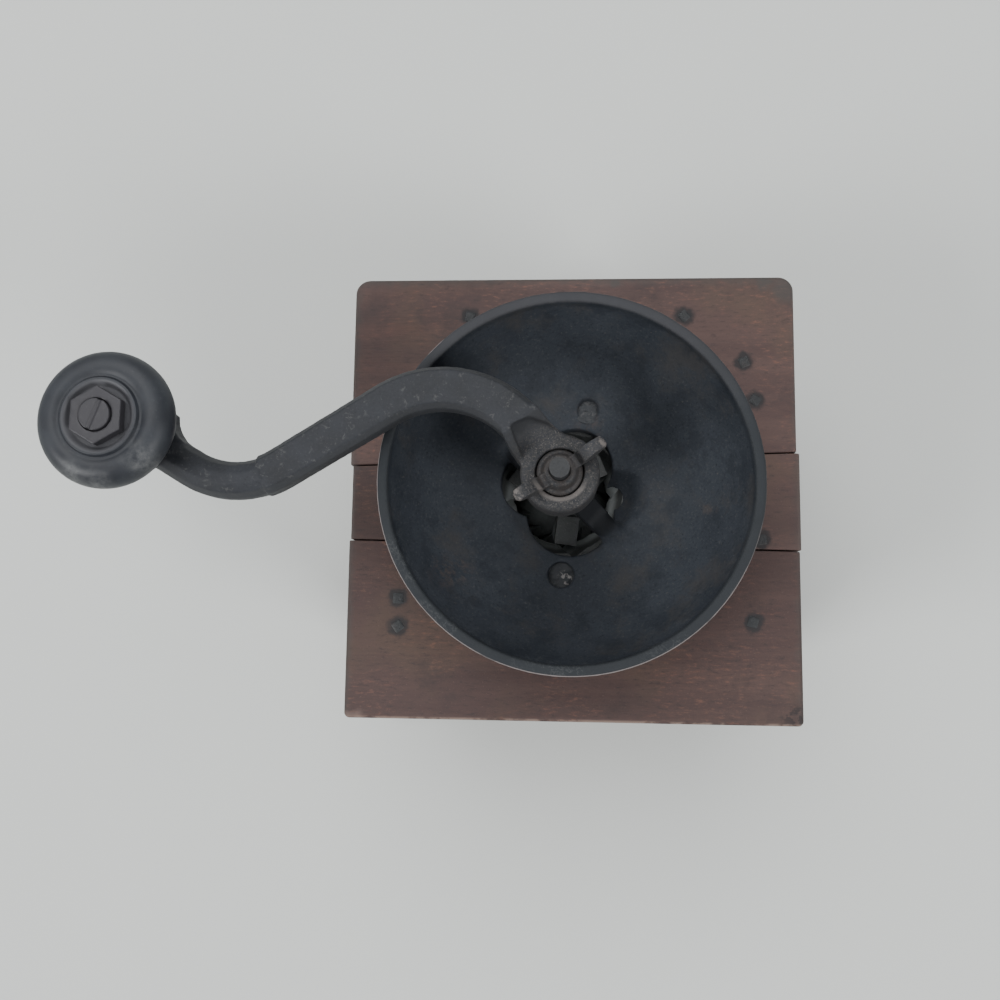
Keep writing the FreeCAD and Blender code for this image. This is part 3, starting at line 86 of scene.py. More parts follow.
# Angles in degrees over which an edge is shaded as a sharp one.
CUT_SHARP = 30
TURNED_SHARP = 35
CAST_SHARP = 60

# Points closer than this, in millimetres, are one, and faces within this angle, in degrees, are flat.
SAME_POINT = 0.001
FLAT_FACE = 0.5

# Throat of the bowl: name, place from the spindle's axis and radius of each round lobe.
LOBES = (
    ("front_lobe", 3.5, -8, 15.7),
    ("left_lobe", -9.5, 2.5, 12),
    ("back_lobe", 5, 9, 13.5),
)
CHUTE_PLACE = (18.6, -2.1)
CHUTE = [(0, 0), (3.6, 0), (22.4, 16), (0, 16)]

# Bolts of the bowl: places from the spindle's axis, and the radii that dirt leaves open over their heads.
FRONT_BOLT = (0.3, -30.6)
BACK_BOLT = (9.7, 29.4)
FRONT_SINK = 4.6
BACK_SINK = 3.4
BOLT_SEAT = 2.6
BOLT_PASSAGE = 2.6

# Heights that the bowl's cutters reach: below its underside, above its bolts and above its throat.
CUT_LOW = -1
CUT_HIGH = 16
THROAT_HIGH = 12

# Bridge: its direction in degrees, the middle of its feet, and the slope over them as a cutter's profile.
BRIDGE_TURN = -40
BRIDGE_FOOT = 26
BRIDGE_SLOPE = [(0, 31), (19.4, 31), (19.5, 14), (26.5, 8), (40, 8), (40, 32), (0, 32)]

# Middles of the top's nails, from the middle of the box.
NAILS = (
    (-63.5, -38.9),
    (-63.3, -49.1),
    (65.1, -45.9),
    (63.4, 49.7),
    (67.1, 35.3),
    (68.6, -16.3),
    (41.5, 67.4),
    (-38.8, 67.5),
)


# Shapes

def from_spindle(x, y):
    """Place on the mill, from millimetres counted from the spindle's axis."""
    return Vector((SPINDLE.x + x * MM, SPINDLE.y + y * MM))


def curve(start, end, radius, side, steps=12):
    """Points of the short arc from start to end, both included; its centre is on the given side."""
    start, end = Vector(start), Vector(end)
    along = end - start
    rise = math.sqrt(radius**2 - along.length_squared / 4)
    normal = Vector((-along.y, along.x)).normalized() * (rise if side == "left" else -rise)
    centre = (start + end) / 2 + normal
    first = start - centre
    sweep = first.angle_signed(end - centre)
    points = []
    for step in range(steps + 1):
        angle = math.atan2(first.y, first.x) - sweep * step / steps
        points.append((centre.x + radius * math.cos(angle), centre.y + radius * math.sin(angle)))
    return points


def lathe(name, profile, centre, steps):
    """Solid turned about an upright axis from its (radius, height) profile in millimetres."""
    shape = bmesh.new()
    rings = []
    for radius, height in profile:
        if radius == 0:
            rings.append([shape.verts.new((*centre, FACE + height * MM))] * steps)
            continue
        ring = []
        for step in range(steps):
            angle = 2 * math.pi * step / steps
            x = centre.x + radius * MM * math.cos(angle)
            y = centre.y + radius * MM * math.sin(angle)
            ring.append(shape.verts.new((x, y, FACE + height * MM)))
        rings.append(ring)
    for lower, upper in zip(rings, rings[1:]):
        for step in range(steps):
            after = (step + 1) % steps
            corners = dict.fromkeys((lower[step], lower[after], upper[after], upper[step]))
            if len(corners) > 2:
                shape.faces.new(corners)
    bmesh.ops.recalc_face_normals(shape, faces=shape.faces)
    return to_mesh(name, shape)


def to_mesh(name, shape):
    """Mesh made of a bmesh, which is freed."""
    mesh = bpy.data.meshes.new(name)
    shape.to_mesh(mesh)
    shape.free()
    return mesh


def welded(node):
    """Copy of a node's mesh with its double points joined and its flat faces whole."""
    shape = bmesh.new()
    shape.from_mesh(nodes[node].data)
    bmesh.ops.remove_doubles(shape, verts=shape.verts, dist=SAME_POINT * MM)
    flat = math.radians(FLAT_FACE)
    bmesh.ops.dissolve_limit(shape, angle_limit=flat, verts=shape.verts, edges=shape.edges)
    return to_mesh(node, shape)


def joined(name, *meshes):
    """One mesh of several; a voxel remesh then makes them one skin."""
    shape = bmesh.new()
    for mesh in meshes:
        shape.from_mesh(mesh)
    return to_mesh(name, shape)


def worked(mesh, *steps):
    """Mesh after a row of modifiers, each given as its kind and its settings."""
    holder = bpy.data.objects.new("workpiece", mesh)
    bpy.context.scene.collection.objects.link(holder)
    for kind, settings in steps:
        modifier = holder.modifiers.new(kind.lower(), kind)
        for field, value in settings.items():
            setattr(modifier, field, value)
    graph = bpy.context.evaluated_depsgraph_get()
    made = bpy.data.meshes.new_from_object(holder.evaluated_get(graph))
    bpy.data.objects.remove(holder)
    return made


def carved(mesh, cutters):
    """Mesh with the cutters' shapes taken out of it."""
    tools = []
    for cutter in cutters:
        tool = bpy.data.objects.new("cutter", cutter)
        bpy.context.scene.collection.objects.link(tool)
        tools.append(tool)
    made = worked(mesh, *(
        ("BOOLEAN", {"operation": "DIFFERENCE", "solver": "EXACT", "object": tool}) for tool in tools
    ))
    for tool in tools:
        bpy.data.objects.remove(tool)
    return made


def clouds(name, size):
    """Soft noise for pits, with their size in metres."""
    texture = bpy.data.textures.new(name, "CLOUDS")
    texture.noise_scale = size
    texture.noise_depth = 3
    return texture


def swollen(mesh, amount):
    """Mesh grown by an amount in millimetres, or shrunk if it is below 0."""
    return worked(mesh, ("DISPLACE", {"mid_level": 0.0, "strength": amount * MM}))


def cast(mesh, voxel, rounds, pits, pit_size):
    """Mesh as a sand casting, sizes in millimetres: edges rounded by smoothing, skin pitted inwards."""
    pitting = {
        "texture": clouds(f"{mesh.name} pits", pit_size * MM),
        "mid_level": 1.0,
        "strength": pits * MM,
        "texture_coords": "LOCAL",
    }
    return worked(
        mesh,
        ("REMESH", {"mode": "VOXEL", "voxel_size": voxel * MM}),
        ("SMOOTH", {"factor": 0.5, "iterations": rounds}),
        ("DISPLACE", pitting),
    )


def melted(mesh, centre, radius, rounds):
    """Mesh whose forms on the bowl's floor flow together, within a radius of an upright axis."""
    lowest = FACE + 5 * MM
    highest = FACE + 22 * MM
    shape = bmesh.new()
    shape.from_mesh(mesh)
    near = [
        point for point in shape.verts
        if (point.co.xy - centre).length < radius * MM and lowest < point.co.z < highest
    ]
    every_way = {"use_axis_x": True, "use_axis_y": True, "use_axis_z": True}
    for _ in range(rounds):
        bmesh.ops.smooth_vert(shape, verts=near, factor=0.5, **every_way)
    return to_mesh(mesh.name, shape)


def eased(mesh, width):
    """Mesh with narrow rounded edges, their width in millimetres."""
    rounding = {
        "width": width * MM,
        "segments": 3,
        "limit_method": "ANGLE",
        "angle_limit": math.radians(28),
    }
    return worked(mesh, ("BEVEL", rounding))


# What shows for each node: the node itself, or the piece that stands for it.
shown = dict(nodes)


def add_piece(name, mesh, *stands_for, sharp=CUT_SHARP):
    """Shows a mesh in place of nodes, smooth except at edges over an angle in degrees."""
    node = stands_for[0]
    mesh.shade_smooth()
    mesh.set_sharp_from_angle(angle=math.radians(sharp))
    piece = bpy.data.objects.new(name, mesh)
    bpy.context.scene.collection.objects.link(piece)
    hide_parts(*stands_for)
    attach(piece, BODY[node])
    for hidden in stands_for:
        shown.pop(hidden)
    shown[node] = piece


def bowl_profile():
    """Half section of the bowl, from the middle of its underside round to the middle of its floor."""
    outside = curve((36.5, 7.4), (61.6, 35.8), 56, "left", 24)
    inside = curve((59.6, 41), (20, 5.6), 52, "right", 40)
    foot = [(0, 0), (40, 0), (40, 3), (36.5, 4.2)]
    rim = [(63.5, 38.5), (63.5, 44.2), (62.9, 45), (60.3, 45), (59.6, 44.3)]
    return foot + outside + rim + inside + [(0, 5.6)]


def bore(name, x, y, radius, low, high):
    """Upright round cutter, with its place counted from the spindle's axis."""
    return lathe(name, [(0, low), (radius, low), (radius, high), (0, high)], from_spindle(x, y), BORE_STEPS)


def bowl_cutters():
    """What is open in the bowl: its throat, the sinks of its bolts and their holes."""
    cutters = [bore(name, x, y, radius, CUT_LOW, THROAT_HIGH) for name, x, y, radius in LOBES]
    cutters.append(lathe("chute", CHUTE, from_spindle(*CHUTE_PLACE), SMALL_STEPS))
    for place, radius in ((FRONT_BOLT, FRONT_SINK), (BACK_BOLT, BACK_SINK)):
        cutters.append(bore("sink", *place, radius, BOLT_SEAT, CUT_HIGH))
        cutters.append(bore("passage", *place, BOLT_PASSAGE, CUT_LOW, CUT_HIGH))
    return cutters


def make_bowl():
    """Bowl and bridge as one casting, and the bolts in its floor."""
    body = carved(lathe("bowl", bowl_profile(), BOWL, BOWL_STEPS), bowl_cutters())
    # The bridge is swollen a little, so that its feet grow into the bowl's floor.
    bridge = swollen(welded("bridge"), 0.3)
    bridge = carved(bridge, [lathe("slope", BRIDGE_SLOPE, SPINDLE, SMALL_STEPS)])
    casting = cast(joined("bowl", body, bridge), voxel=0.55, rounds=7, pits=0.15, pit_size=3)
    for turn in (BRIDGE_TURN, BRIDGE_TURN + 180):
        way = math.radians(turn)
        foot = from_spindle(BRIDGE_FOOT * math.cos(way), BRIDGE_FOOT * math.sin(way))
        casting = melted(casting, foot, radius=8.5, rounds=60)
    # Dirt has all but filled the sink of the bolt at the back.
    casting = melted(casting, from_spindle(*BACK_BOLT), radius=7, rounds=25)
    casting = worked(casting, ("DECIMATE", {"ratio": 0.45}))
    add_piece("hopper_casting", casting, "hopper", "bridge", sharp=CAST_SHARP)
    bolts = cast(swollen(welded("hopper_bolts"), 0.45), voxel=0.5, rounds=8, pits=0.8, pit_size=1.5)
    add_piece("worn_bolts", bolts, "hopper_bolts", sharp=CAST_SHARP)


def knob_profile():
    """Closed half section of the knob round its bore, from its underside up the outside."""
    foot = [(14.6, 60.7), (15.2, 61.3), (15.2, 63.1)]
    cove = curve((15.2, 63.1), (12.8, 64.6), 3, "right", 4)
    flank = curve((12.8, 64.6), (17.7, 69.2), 14, "right", 8)
    belly = curve((17.7, 69.2), (21.3, 75), 6.472, "left", 8)
    crown = curve((21.3, 75), (15.3, 81), 6, "left", 14)
    ring = [(13.9, 80.8), (13.5, 80.5), (13, 80.4), (12.5, 80.5), (12.2, 80.9), (11.9, 81.4), (11.6, 81.5)]
    well = [(11.2, 81.45), (10.7, 81.2), (10.2, 80.7), (9.8, 80.1), (9.5, 79.75), (9.2, 79.6)]
    hole = [(4.96, 79.6), (4.96, 60.7)]
    profile = foot + cove + flank + belly + crown + ring + well + hole
    return profile + [profile[0]]


def make_knob():
    """Turned knob, with its nut and the end of its stud."""
    mesh = lathe("knob", knob_profile(), HANDLE, KNOB_STEPS)
    mesh = worked(mesh, ("WELD", {"merge_threshold": SAME_POINT * MM}))
    add_piece("turned_knob", mesh, "crank_knob", sharp=TURNED_SHARP)
    nut = cast(swollen(welded("knob_nut"), -0.1), voxel=0.25, rounds=8, pits=0.15, pit_size=2)
    add_piece("worn_knob_nut", nut, "knob_nut", sharp=CAST_SHARP)
    # Dirt fills a part of the stud's slot.
    filling = lathe("filling", [(0, 80), (4.6, 80), (4.6, 83.8), (0, 83.8)], HANDLE, SMALL_STEPS)
    stud = cast(joined("stud", welded("knob_stud"), filling), voxel=0.3, rounds=5, pits=0.05, pit_size=2)
    add_piece("worn_knob_stud", stud, "knob_stud", sharp=CAST_SHARP)


def make_crank():
    """Crank and wing nut as castings."""
    crank = cast(welded("crank"), voxel=0.5, rounds=6, pits=0.2, pit_size=2.5)
    add_piece("crank_casting", crank, "crank", sharp=CAST_SHARP)
    # The wing nut ends below in a broad skirt that fills the hub's cup.
    skirt = lathe("skirt", [(0, 46), (7.65, 46), (7.65, 49), (6.9, 49.8), (0, 49.8)], SPINDLE, BORE_STEPS)
    wings = cast(joined("wings", welded("wing_nut"), skirt), voxel=0.3, rounds=5, pits=0.12, pit_size=1.5)
    add_piece("wing_nut_casting", wings, "wing_nut", sharp=CAST_SHARP)


# Boards with eased edges, and the width of the easing in millimetres.
EASED = {
    "base_board": 0.8,
    "wall_left": 0.4,
    "wall_right": 0.4,
    "wall_back": 0.4,
    "front_rail": 0.4,
    "top_board_back": 0.5,
    "top_board_front": 0.5,
    "top_board_middle_left": 0.3,
    "top_board_middle_right": 0.3,
    "drawer_front": 0.5,
    "drawer_side_left": 0.3,
    "drawer_side_right": 0.3,
    "drawer_back": 0.3,
}


# Materials

class Shader:
    """Builds one material; most methods add nodes and return the output to go on with."""

    def __init__(self, name):
        self.material = bpy.data.materials.new(name)
        self.material.use_nodes = True
        self.tree = self.material.node_tree
        self.surface = self.tree.nodes["Principled BSDF"]

    def feed(self, socket, value):
        """Gives a socket another socket's output, a colour or a number."""
        if isinstance(value, bpy.types.NodeSocket):
            self.tree.links.new(value, socket)
        elif isinstance(value, (tuple, list)) and len(value) == 3 and len(socket.default_value) == 4:
            socket.default_value = (*value, 1)
        else:
            socket.default_value = value

    def node(self, kind, **inputs):
        """New node with its inputs given by name."""
        made = self.tree.nodes.new(kind)
        for name, value in inputs.items():
            self.feed(made.inputs[name.replace("_", " ")], value)
        return made

    def place(self):
        """The shaded point in the frame's own axes, in metres."""
        return self.tree.nodes.new("ShaderNodeTexCoord").outputs["Object"]

    def stretch(self, vector, scale, shift=(0, 0, 0)):
        """Vector with its scale and shift changed."""
        return self.node("ShaderNodeMapping", Vector=vector, Scale=scale, Location=shift).outputs["Vector"]

    def noise(self, vector, scale, detail=4.0, roughness=0.55, distortion=0.0):
        """Noise from 0 to 1, with about scale features to the metre."""
        settings = {"Scale": scale, "Detail": detail, "Roughness": roughness, "Distortion": distortion}
        return self.node("ShaderNodeTexNoise", Vector=vector, **settings).outputs["Fac"]

    def math(self, operation, first, second=0.0):
        """Result of an operation on one or two numbers."""
        made = self.tree.nodes.new("ShaderNodeMath")
        made.operation = operation
        self.feed(made.inputs[0], first)
        self.feed(made.inputs[1], second)
        return made.outputs[0]

    def vector_math(self, operation, *values):
        """All outputs of an operation on vectors, by name."""
        made = self.tree.nodes.new("ShaderNodeVectorMath")
        made.operation = operation
        for socket, value in zip(made.inputs, values):
            self.feed(socket, value)
        return made.outputs

    def fade(self, value, low, high, start=0.0, end=1.0):
        """Smooth step of a value from start at low to end at high."""
        made = self.tree.nodes.new("ShaderNodeMapRange")
        made.interpolation_type = "SMOOTHSTEP"
        self.feed(made.inputs["Value"], value)
        for name, number in (("From Min", low), ("From Max", high), ("To Min", start), ("To Max", end)):
            made.inputs[name].default_value = number
        return made.outputs["Result"]

    def mix(self, amount, first, second):
        """Blend of two colours."""
        made = self.tree.nodes.new("ShaderNodeMix")
        made.data_type = "RGBA"
        self.feed(made.inputs[0], amount)
        self.feed(made.inputs[6], first)
        self.feed(made.inputs[7], second)
        return made.outputs[2]

    def both(self, *masks):
        """Product of masks."""
        made = masks[0]
        for mask in masks[1:]:
            made = self.math("MULTIPLY", made, mask)
        return made

    def reach(self, point, centre):
        """Distance of a point from an upright axis, in metres."""
        flat = self.vector_math("MULTIPLY", point, (1.0, 1.0, 0.0))["Vector"]
        return self.vector_math("DISTANCE", flat, (centre[0], centre[1], 0.0))["Value"]

    def spot(self, point, x, y, inner, outer):
        """1 round a place on the mill in millimetres, fading from the inner to the outer radius."""
        return self.fade(self.reach(point, (x * MM, y * MM)), inner * MM, outer * MM, 1.0, 0.0)

    def ragged(self, point, amount, scale):
        """Point shaken by up to an amount in millimetres, for ragged outlines."""
        shake = self.node("ShaderNodeTexNoise", Vector=point, Scale=scale, Detail=3.0).outputs["Color"]
        swing = self.vector_math("SUBTRACT", shake, (0.5, 0.5, 0.5))["Vector"]
        width = amount * 2 * MM
        return self.vector_math("MULTIPLY_ADD", swing, (width, width, width), point)["Vector"]

    def thread(self, value, middle, width):
        """1 along the line where a noise passes a middle value."""
        away = self.math("ABSOLUTE", self.math("SUBTRACT", value, middle))
        return self.fade(away, 0.0, width, 1.0, 0.0)

    def parts(self, vector):
        """X, Y and Z of a vector, by name."""
        return self.node("ShaderNodeSeparateXYZ", Vector=vector).outputs

    def facing(self):
        """The surface's true normal."""
        return self.tree.nodes.new("ShaderNodeNewGeometry").outputs["Normal"]

    def worn_edge(self, radius):
        """Above 0 near edges, from the difference between the true and a rounded normal."""
        rounded = self.tree.nodes.new("ShaderNodeBevel")
        rounded.samples = 8
        rounded.inputs["Radius"].default_value = radius
        likeness = self.vector_math("DOT_PRODUCT", rounded.outputs["Normal"], self.facing())["Value"]
        return self.math("SUBTRACT", 1.0, likeness)

    def bump(self, height, depth, strength=1.0, under=None):
        """Normal of a relief, its depth in metres, over another normal if one is given."""
        made = self.node("ShaderNodeBump", Height=height, Distance=depth, Strength=strength)
        if under is not None:
            self.feed(made.inputs["Normal"], under)
        return made.outputs["Normal"]

    def finish(self, colour, roughness, normal, metallic=0.0, specular=0.5):
        """Feeds the surface and returns the material."""
        self.feed(self.surface.inputs["Base Color"], colour)
        self.feed(self.surface.inputs["Roughness"], roughness)
        self.feed(self.surface.inputs["Normal"], normal)
        self.feed(self.surface.inputs["Metallic"], metallic)
        self.feed(self.surface.inputs["Specular IOR Level"], specular)
        return self.material


def paint(red, green, blue):
    """Linear colour from screen values of 0 to 255."""
    return tuple(((value / 255 + 0.055) / 1.055) ** 2.4 for value in (red, green, blue))


# How far a pattern is drawn out along the grain, for grain along X and along Y.
GRAIN_WAYS = {"X": (0.1, 1, 1), "Y": (1, 0.1, 1)}
FIBRE_WAYS = {"X": (0.02, 1, 1), "Y": (1, 0.02, 1)}
FLECK_WAYS = {"X": (0.3, 1, 1), "Y": (1, 0.3, 1)}

WOOD_PALE = paint(84, 67, 63)
WOOD_DARK = paint(70, 55, 53)
WOOD_RUBBED = paint(128, 104, 94)
WOOD_YELLOW = paint(84, 69, 60)
WOOD_RED = paint(122, 86, 72)
WOOD_GRIME = paint(52, 47, 47)
WOOD_CHIPPED = paint(40, 36, 37)
EDGE_GREY = paint(66, 66, 64)
EDGE_WORN = paint(132, 114, 104)
CORNER_WORN = paint(118, 100, 93)
NAIL_STAIN = paint(38, 39, 41)
RUST = paint(78, 60, 52)
RUST_FAINT = paint(68, 60, 56)

# Places of marks from the middle of the box, with their radii where there are three numbers.
TOP_SMUDGES = ((78.8, 76.7, 7.0), (71.0, 80.0, 4.0), (15.5, 80.4, 2.5))
CHIPPED_CORNER = (80.0, -79.5)
WORN_CORNER = (-80.0, -82.5)
BOWL_RUST = ((-41, -30, 9), (5.9, 24.7, 7), (47.5, -8.4, 3), (4.5, 31, 5))
RIM_CHIP = (-46.9, 45)

# Places of painted sheen on the knob, from the handle's axis, with their radii.
KNOB_SHEEN = ((-9.0, -19.5, 6.0), (0.5, -21.0, 5.0), (13.5, -12.5, 5.5))

# Places of marks from the spindle's axis.
WING_TIP = (14.3, 9.3)
BOLT_BRUISE = (1.8, -31.6)


def tinted(colour, strength):
    """Colour made paler above 1 and darker below it."""
    return tuple(part * strength for part in colour)


def wood(name, grain, shift, strength, on_top=False):
    """Old greyed board with low contrast; its grain runs along one axis."""
    pale, dark, yellow, red, grime = (
        tinted(colour, strength) for colour in (WOOD_PALE, WOOD_DARK, WOOD_YELLOW, WOOD_RED, WOOD_GRIME)
    )
    shader = Shader(name)
    point = shader.place()
    moved = shader.stretch(point, (1, 1, 1), shift)
    drawn = shader.stretch(moved, GRAIN_WAYS[grain])
    fibres = shader.stretch(moved, FIBRE_WAYS[grain])
    figure = shader.noise(drawn, 80, detail=6, roughness=0.62, distortion=0.8)
    tone = shader.mix(shader.fade(figure, 0.28, 0.72), dark, pale)
    yellowed = shader.fade(shader.noise(moved, 22, detail=4), 0.52, 0.7, 0.0, 0.6)
    tone = shader.mix(yellowed, tone, yellow)
    flecks = shader.noise(shader.stretch(moved, FLECK_WAYS[grain]), 900, detail=5, roughness=0.75)
    gathered = shader.fade(shader.noise(moved, 40, detail=3), 0.36, 0.6)
    tone = shader.mix(shader.both(shader.fade(flecks, 0.52, 0.7), gathered, 0.55), tone, red)
    tone = shader.mix(shader.fade(flecks, 0.47, 0.3, 0.0, 0.6), tone, grime)
    broad = shader.noise(drawn, 24, detail=5, roughness=0.6)
    tone = shader.mix(shader.fade(broad, 0.56, 0.74, 0.0, 0.5), tone, dark)
    tone = shader.mix(shader.fade(broad, 0.44, 0.28, 0.0, 0.35), tone, red)
    streaks = shader.noise(fibres, 700, detail=3, roughness=0.7)
    tone = shader.mix(shader.fade(streaks, 0.5, 0.8, 0.0, 0.4), tone, dark)
    specks = shader.noise(moved, 1500, detail=3, roughness=0.7)
    tone = shader.mix(shader.fade(specks, 0.58, 0.8, 0.0, 0.6), tone, grime)
    tone = shader.mix(shader.fade(specks, 0.4, 0.2, 0.0, 0.45), tone, WOOD_RUBBED)
    dirty = shader.fade(shader.noise(moved, 34, detail=6, roughness=0.65), 0.54, 0.74, 0.0, 0.55)
    tone = shader.mix(dirty, tone, grime)
    if on_top:
        tone = marked_top(shader, point, tone)
    edge = shader.fade(shader.worn_edge(0.9 * MM), 0.02, 0.14)
    rubbed = shader.both(edge, shader.fade(shader.noise(moved, 120, detail=5), 0.46, 0.66))
    tone = shader.mix(shader.both(rubbed, 0.6), tone, WOOD_RUBBED)
    rough = shader.fade(figure, 0.3, 0.8, 0.6, 0.76)
    relief = shader.bump(streaks, 0.1 * MM, 0.5)
    relief = shader.bump(flecks, 0.12 * MM, 0.5, relief)
    relief = shader.bump(shader.noise(drawn, 240, detail=5), 0.3 * MM, 0.35, relief)
    return shader.finish(tone, rough, relief, specular=0.25)


def marked_top(shader, point, tone):
    """Stains round the nails, grey edges, smudges and chips on the top boards."""
    place = shader.parts(point)
    shaken = shader.ragged(point, 2.0, 260)
    uneven = shader.parts(shaken)
    back = shader.fade(uneven["Y"], 78 * MM, 83 * MM, 0.0, 0.6)
    left = shader.fade(uneven["X"], -79 * MM, -83 * MM, 0.0, 0.5)
    right = shader.fade(uneven["X"], 79 * MM, 83 * MM, 0.0, 0.35)
    upper = shader.fade(place["Z"], FACE - 6 * MM, FACE - 1 * MM, 0.25, 1.0)
    for side in (back, left, right):
        tone = shader.mix(shader.both(side, upper), tone, EDGE_GREY)
    for x, y in NAILS:
        tone = shader.mix(shader.both(shader.spot(shaken, x, y, 2.6, 4.6), 0.85), tone, NAIL_STAIN)
    for x, y, size in TOP_SMUDGES:
        tone = shader.mix(shader.both(shader.spot(shaken, x, y, size * 0.3, size), 0.6), tone, EDGE_GREY)
    chipped = shader.fade(shader.noise(point, 330, detail=4, roughness=0.7), 0.5, 0.58)
    corner = shader.spot(shaken, *CHIPPED_CORNER, 2.0, 7.0)
    tone = shader.mix(shader.both(corner, chipped, 0.7), tone, WOOD_CHIPPED)
    front = shader.both(
        shader.fade(place["Y"], -81.2 * MM, -82.2 * MM),
        shader.fade(place["Z"], FACE - 3.5 * MM, FACE - 1.5 * MM),
    )
    patchy = shader.fade(shader.noise(point, 90, detail=5, roughness=0.65), 0.42, 0.56)
    tone = shader.mix(shader.both(front, patchy, 0.8), tone, EDGE_WORN)
    worn = shader.both(
        shader.spot(shaken, *WORN_CORNER, 1.0, 8.0),
        shader.fade(uneven["Y"], -79 * MM, -82 * MM),
    )
    return shader.mix(shader.both(worn, 0.6), tone, CORNER_WORN)


def iron(name, base, pale, metallic, rough, grain):
    """Old iron or steel: cloudy tone, fine grain, rubbed edges and a little rust."""
    shader = Shader(name)
    point = shader.place()
    cloud = shader.noise(point, 90, detail=6, roughness=0.62)
    speck = shader.noise(point, 1100, detail=3, roughness=0.65)
    tone = shader.mix(shader.fade(cloud, 0.3, 0.72), tinted(base, 0.82), base)
    tone = shader.mix(shader.fade(speck, 0.55, 0.8, 0.0, 0.45), tone, pale)
    rusty = shader.fade(shader.noise(point, 48, detail=7, roughness=0.66), 0.58, 0.74, 0.0, 0.3)
    tone = shader.mix(rusty, tone, RUST)
    edge = shader.fade(shader.worn_edge(0.6 * MM), 0.03, 0.25, 0.0, 0.55)
    tone = shader.mix(edge, tone, pale)
    relief = shader.bump(speck, grain * MM, 0.6)
    relief = shader.bump(shader.noise(point, 260, detail=5), grain * 2 * MM, 0.5, relief)
    roughness = shader.fade(cloud, 0.3, 0.72, rough - 0.06, rough + 0.1)
    return shader.finish(tone, roughness, relief, metallic=metallic)


def bowl_iron():
    """The bowl: blue-black inside with painted shade round its throat, and a grey rim whose outer edge is
    bright in front, part wear and part painted highlight.
    """
    shader = Shader("bowl iron")
    point = shader.place()
    cloud = shader.noise(point, 60, detail=7, roughness=0.62)
    speck = shader.noise(point, 1000, detail=4, roughness=0.7)
    tone = shader.mix(shader.fade(cloud, 0.32, 0.7), paint(39, 43, 49), paint(46, 50, 56))
    tone = shader.mix(shader.fade(speck, 0.54, 0.74, 0.0, 0.55), tone, paint(70, 70, 70))
    tone = shader.mix(shader.fade(speck, 0.46, 0.28, 0.0, 0.7), tone, paint(24, 27, 32))
    dots = shader.fade(shader.noise(point, 620, detail=3), 0.69, 0.76, 0.0, 0.4)
    tone = shader.mix(dots, tone, paint(84, 80, 76))
    shaken = shader.ragged(point, 4.0, 140)
    fine = shader.fade(shader.noise(point, 300, detail=5, roughness=0.7), 0.42, 0.62)
    for x, y, size in BOWL_RUST:
        patch = shader.both(shader.spot(shaken, x, y, size * 0.3, size), fine, 0.5)
        tone = shader.mix(patch, tone, RUST_FAINT)
    brown = shader.fade(shader.noise(point, 42, detail=8, roughness=0.72), 0.5, 0.68, 0.0, 0.6)
    tone = shader.mix(brown, tone, paint(55, 53, 52))
    dull = shader.fade(shader.noise(point, 90, detail=6, roughness=0.7), 0.5, 0.36, 0.0, 0.5)
    tone = shader.mix(dull, tone, paint(30, 34, 40))
    # Painted shade round the throat and painted shadow on the bridge.
    tone = painted_throat_shade(shader, point, tone)
    # Grey rim with painted light at the back and a partly painted highlight on its outer edge in front.
    tone = rim_wear_and_painted_light(shader, point, tone)
    relief = shader.bump(speck, 0.15 * MM, 0.6)
    relief = shader.bump(shader.noise(point, 240, detail=5), 0.4 * MM, 0.4, relief)
    roughness = shader.fade(cloud, 0.3, 0.75, 0.66, 0.82)
    return shader.finish(tone, roughness, relief, specular=0.25)


def painted_throat_shade(shader, point, tone):
    """Painted shade: darker metal round the throat, and a painted shadow that makes the bridge almost
    black.
    """
    around = shader.reach(point, SPINDLE)
    # Painted shade: the metal darkens towards the throat.
    throat = shader.fade(around, 19 * MM, 23 * MM, 0.5, 0.0)
    tone = shader.mix(throat, tone, paint(24, 26, 30))
    # Painted shadow: the bridge is painted almost black where it stands high in the throat.
    bridge_shadow = shader.both(
        shader.fade(around, 21 * MM, 27 * MM, 1.0, 0.0),
        shader.fade(shader.parts(point)["Z"], FACE + 9 * MM, FACE + 11 * MM),
        0.85,
    )
    return shader.mix(bridge_shadow, tone, paint(13, 15, 18))


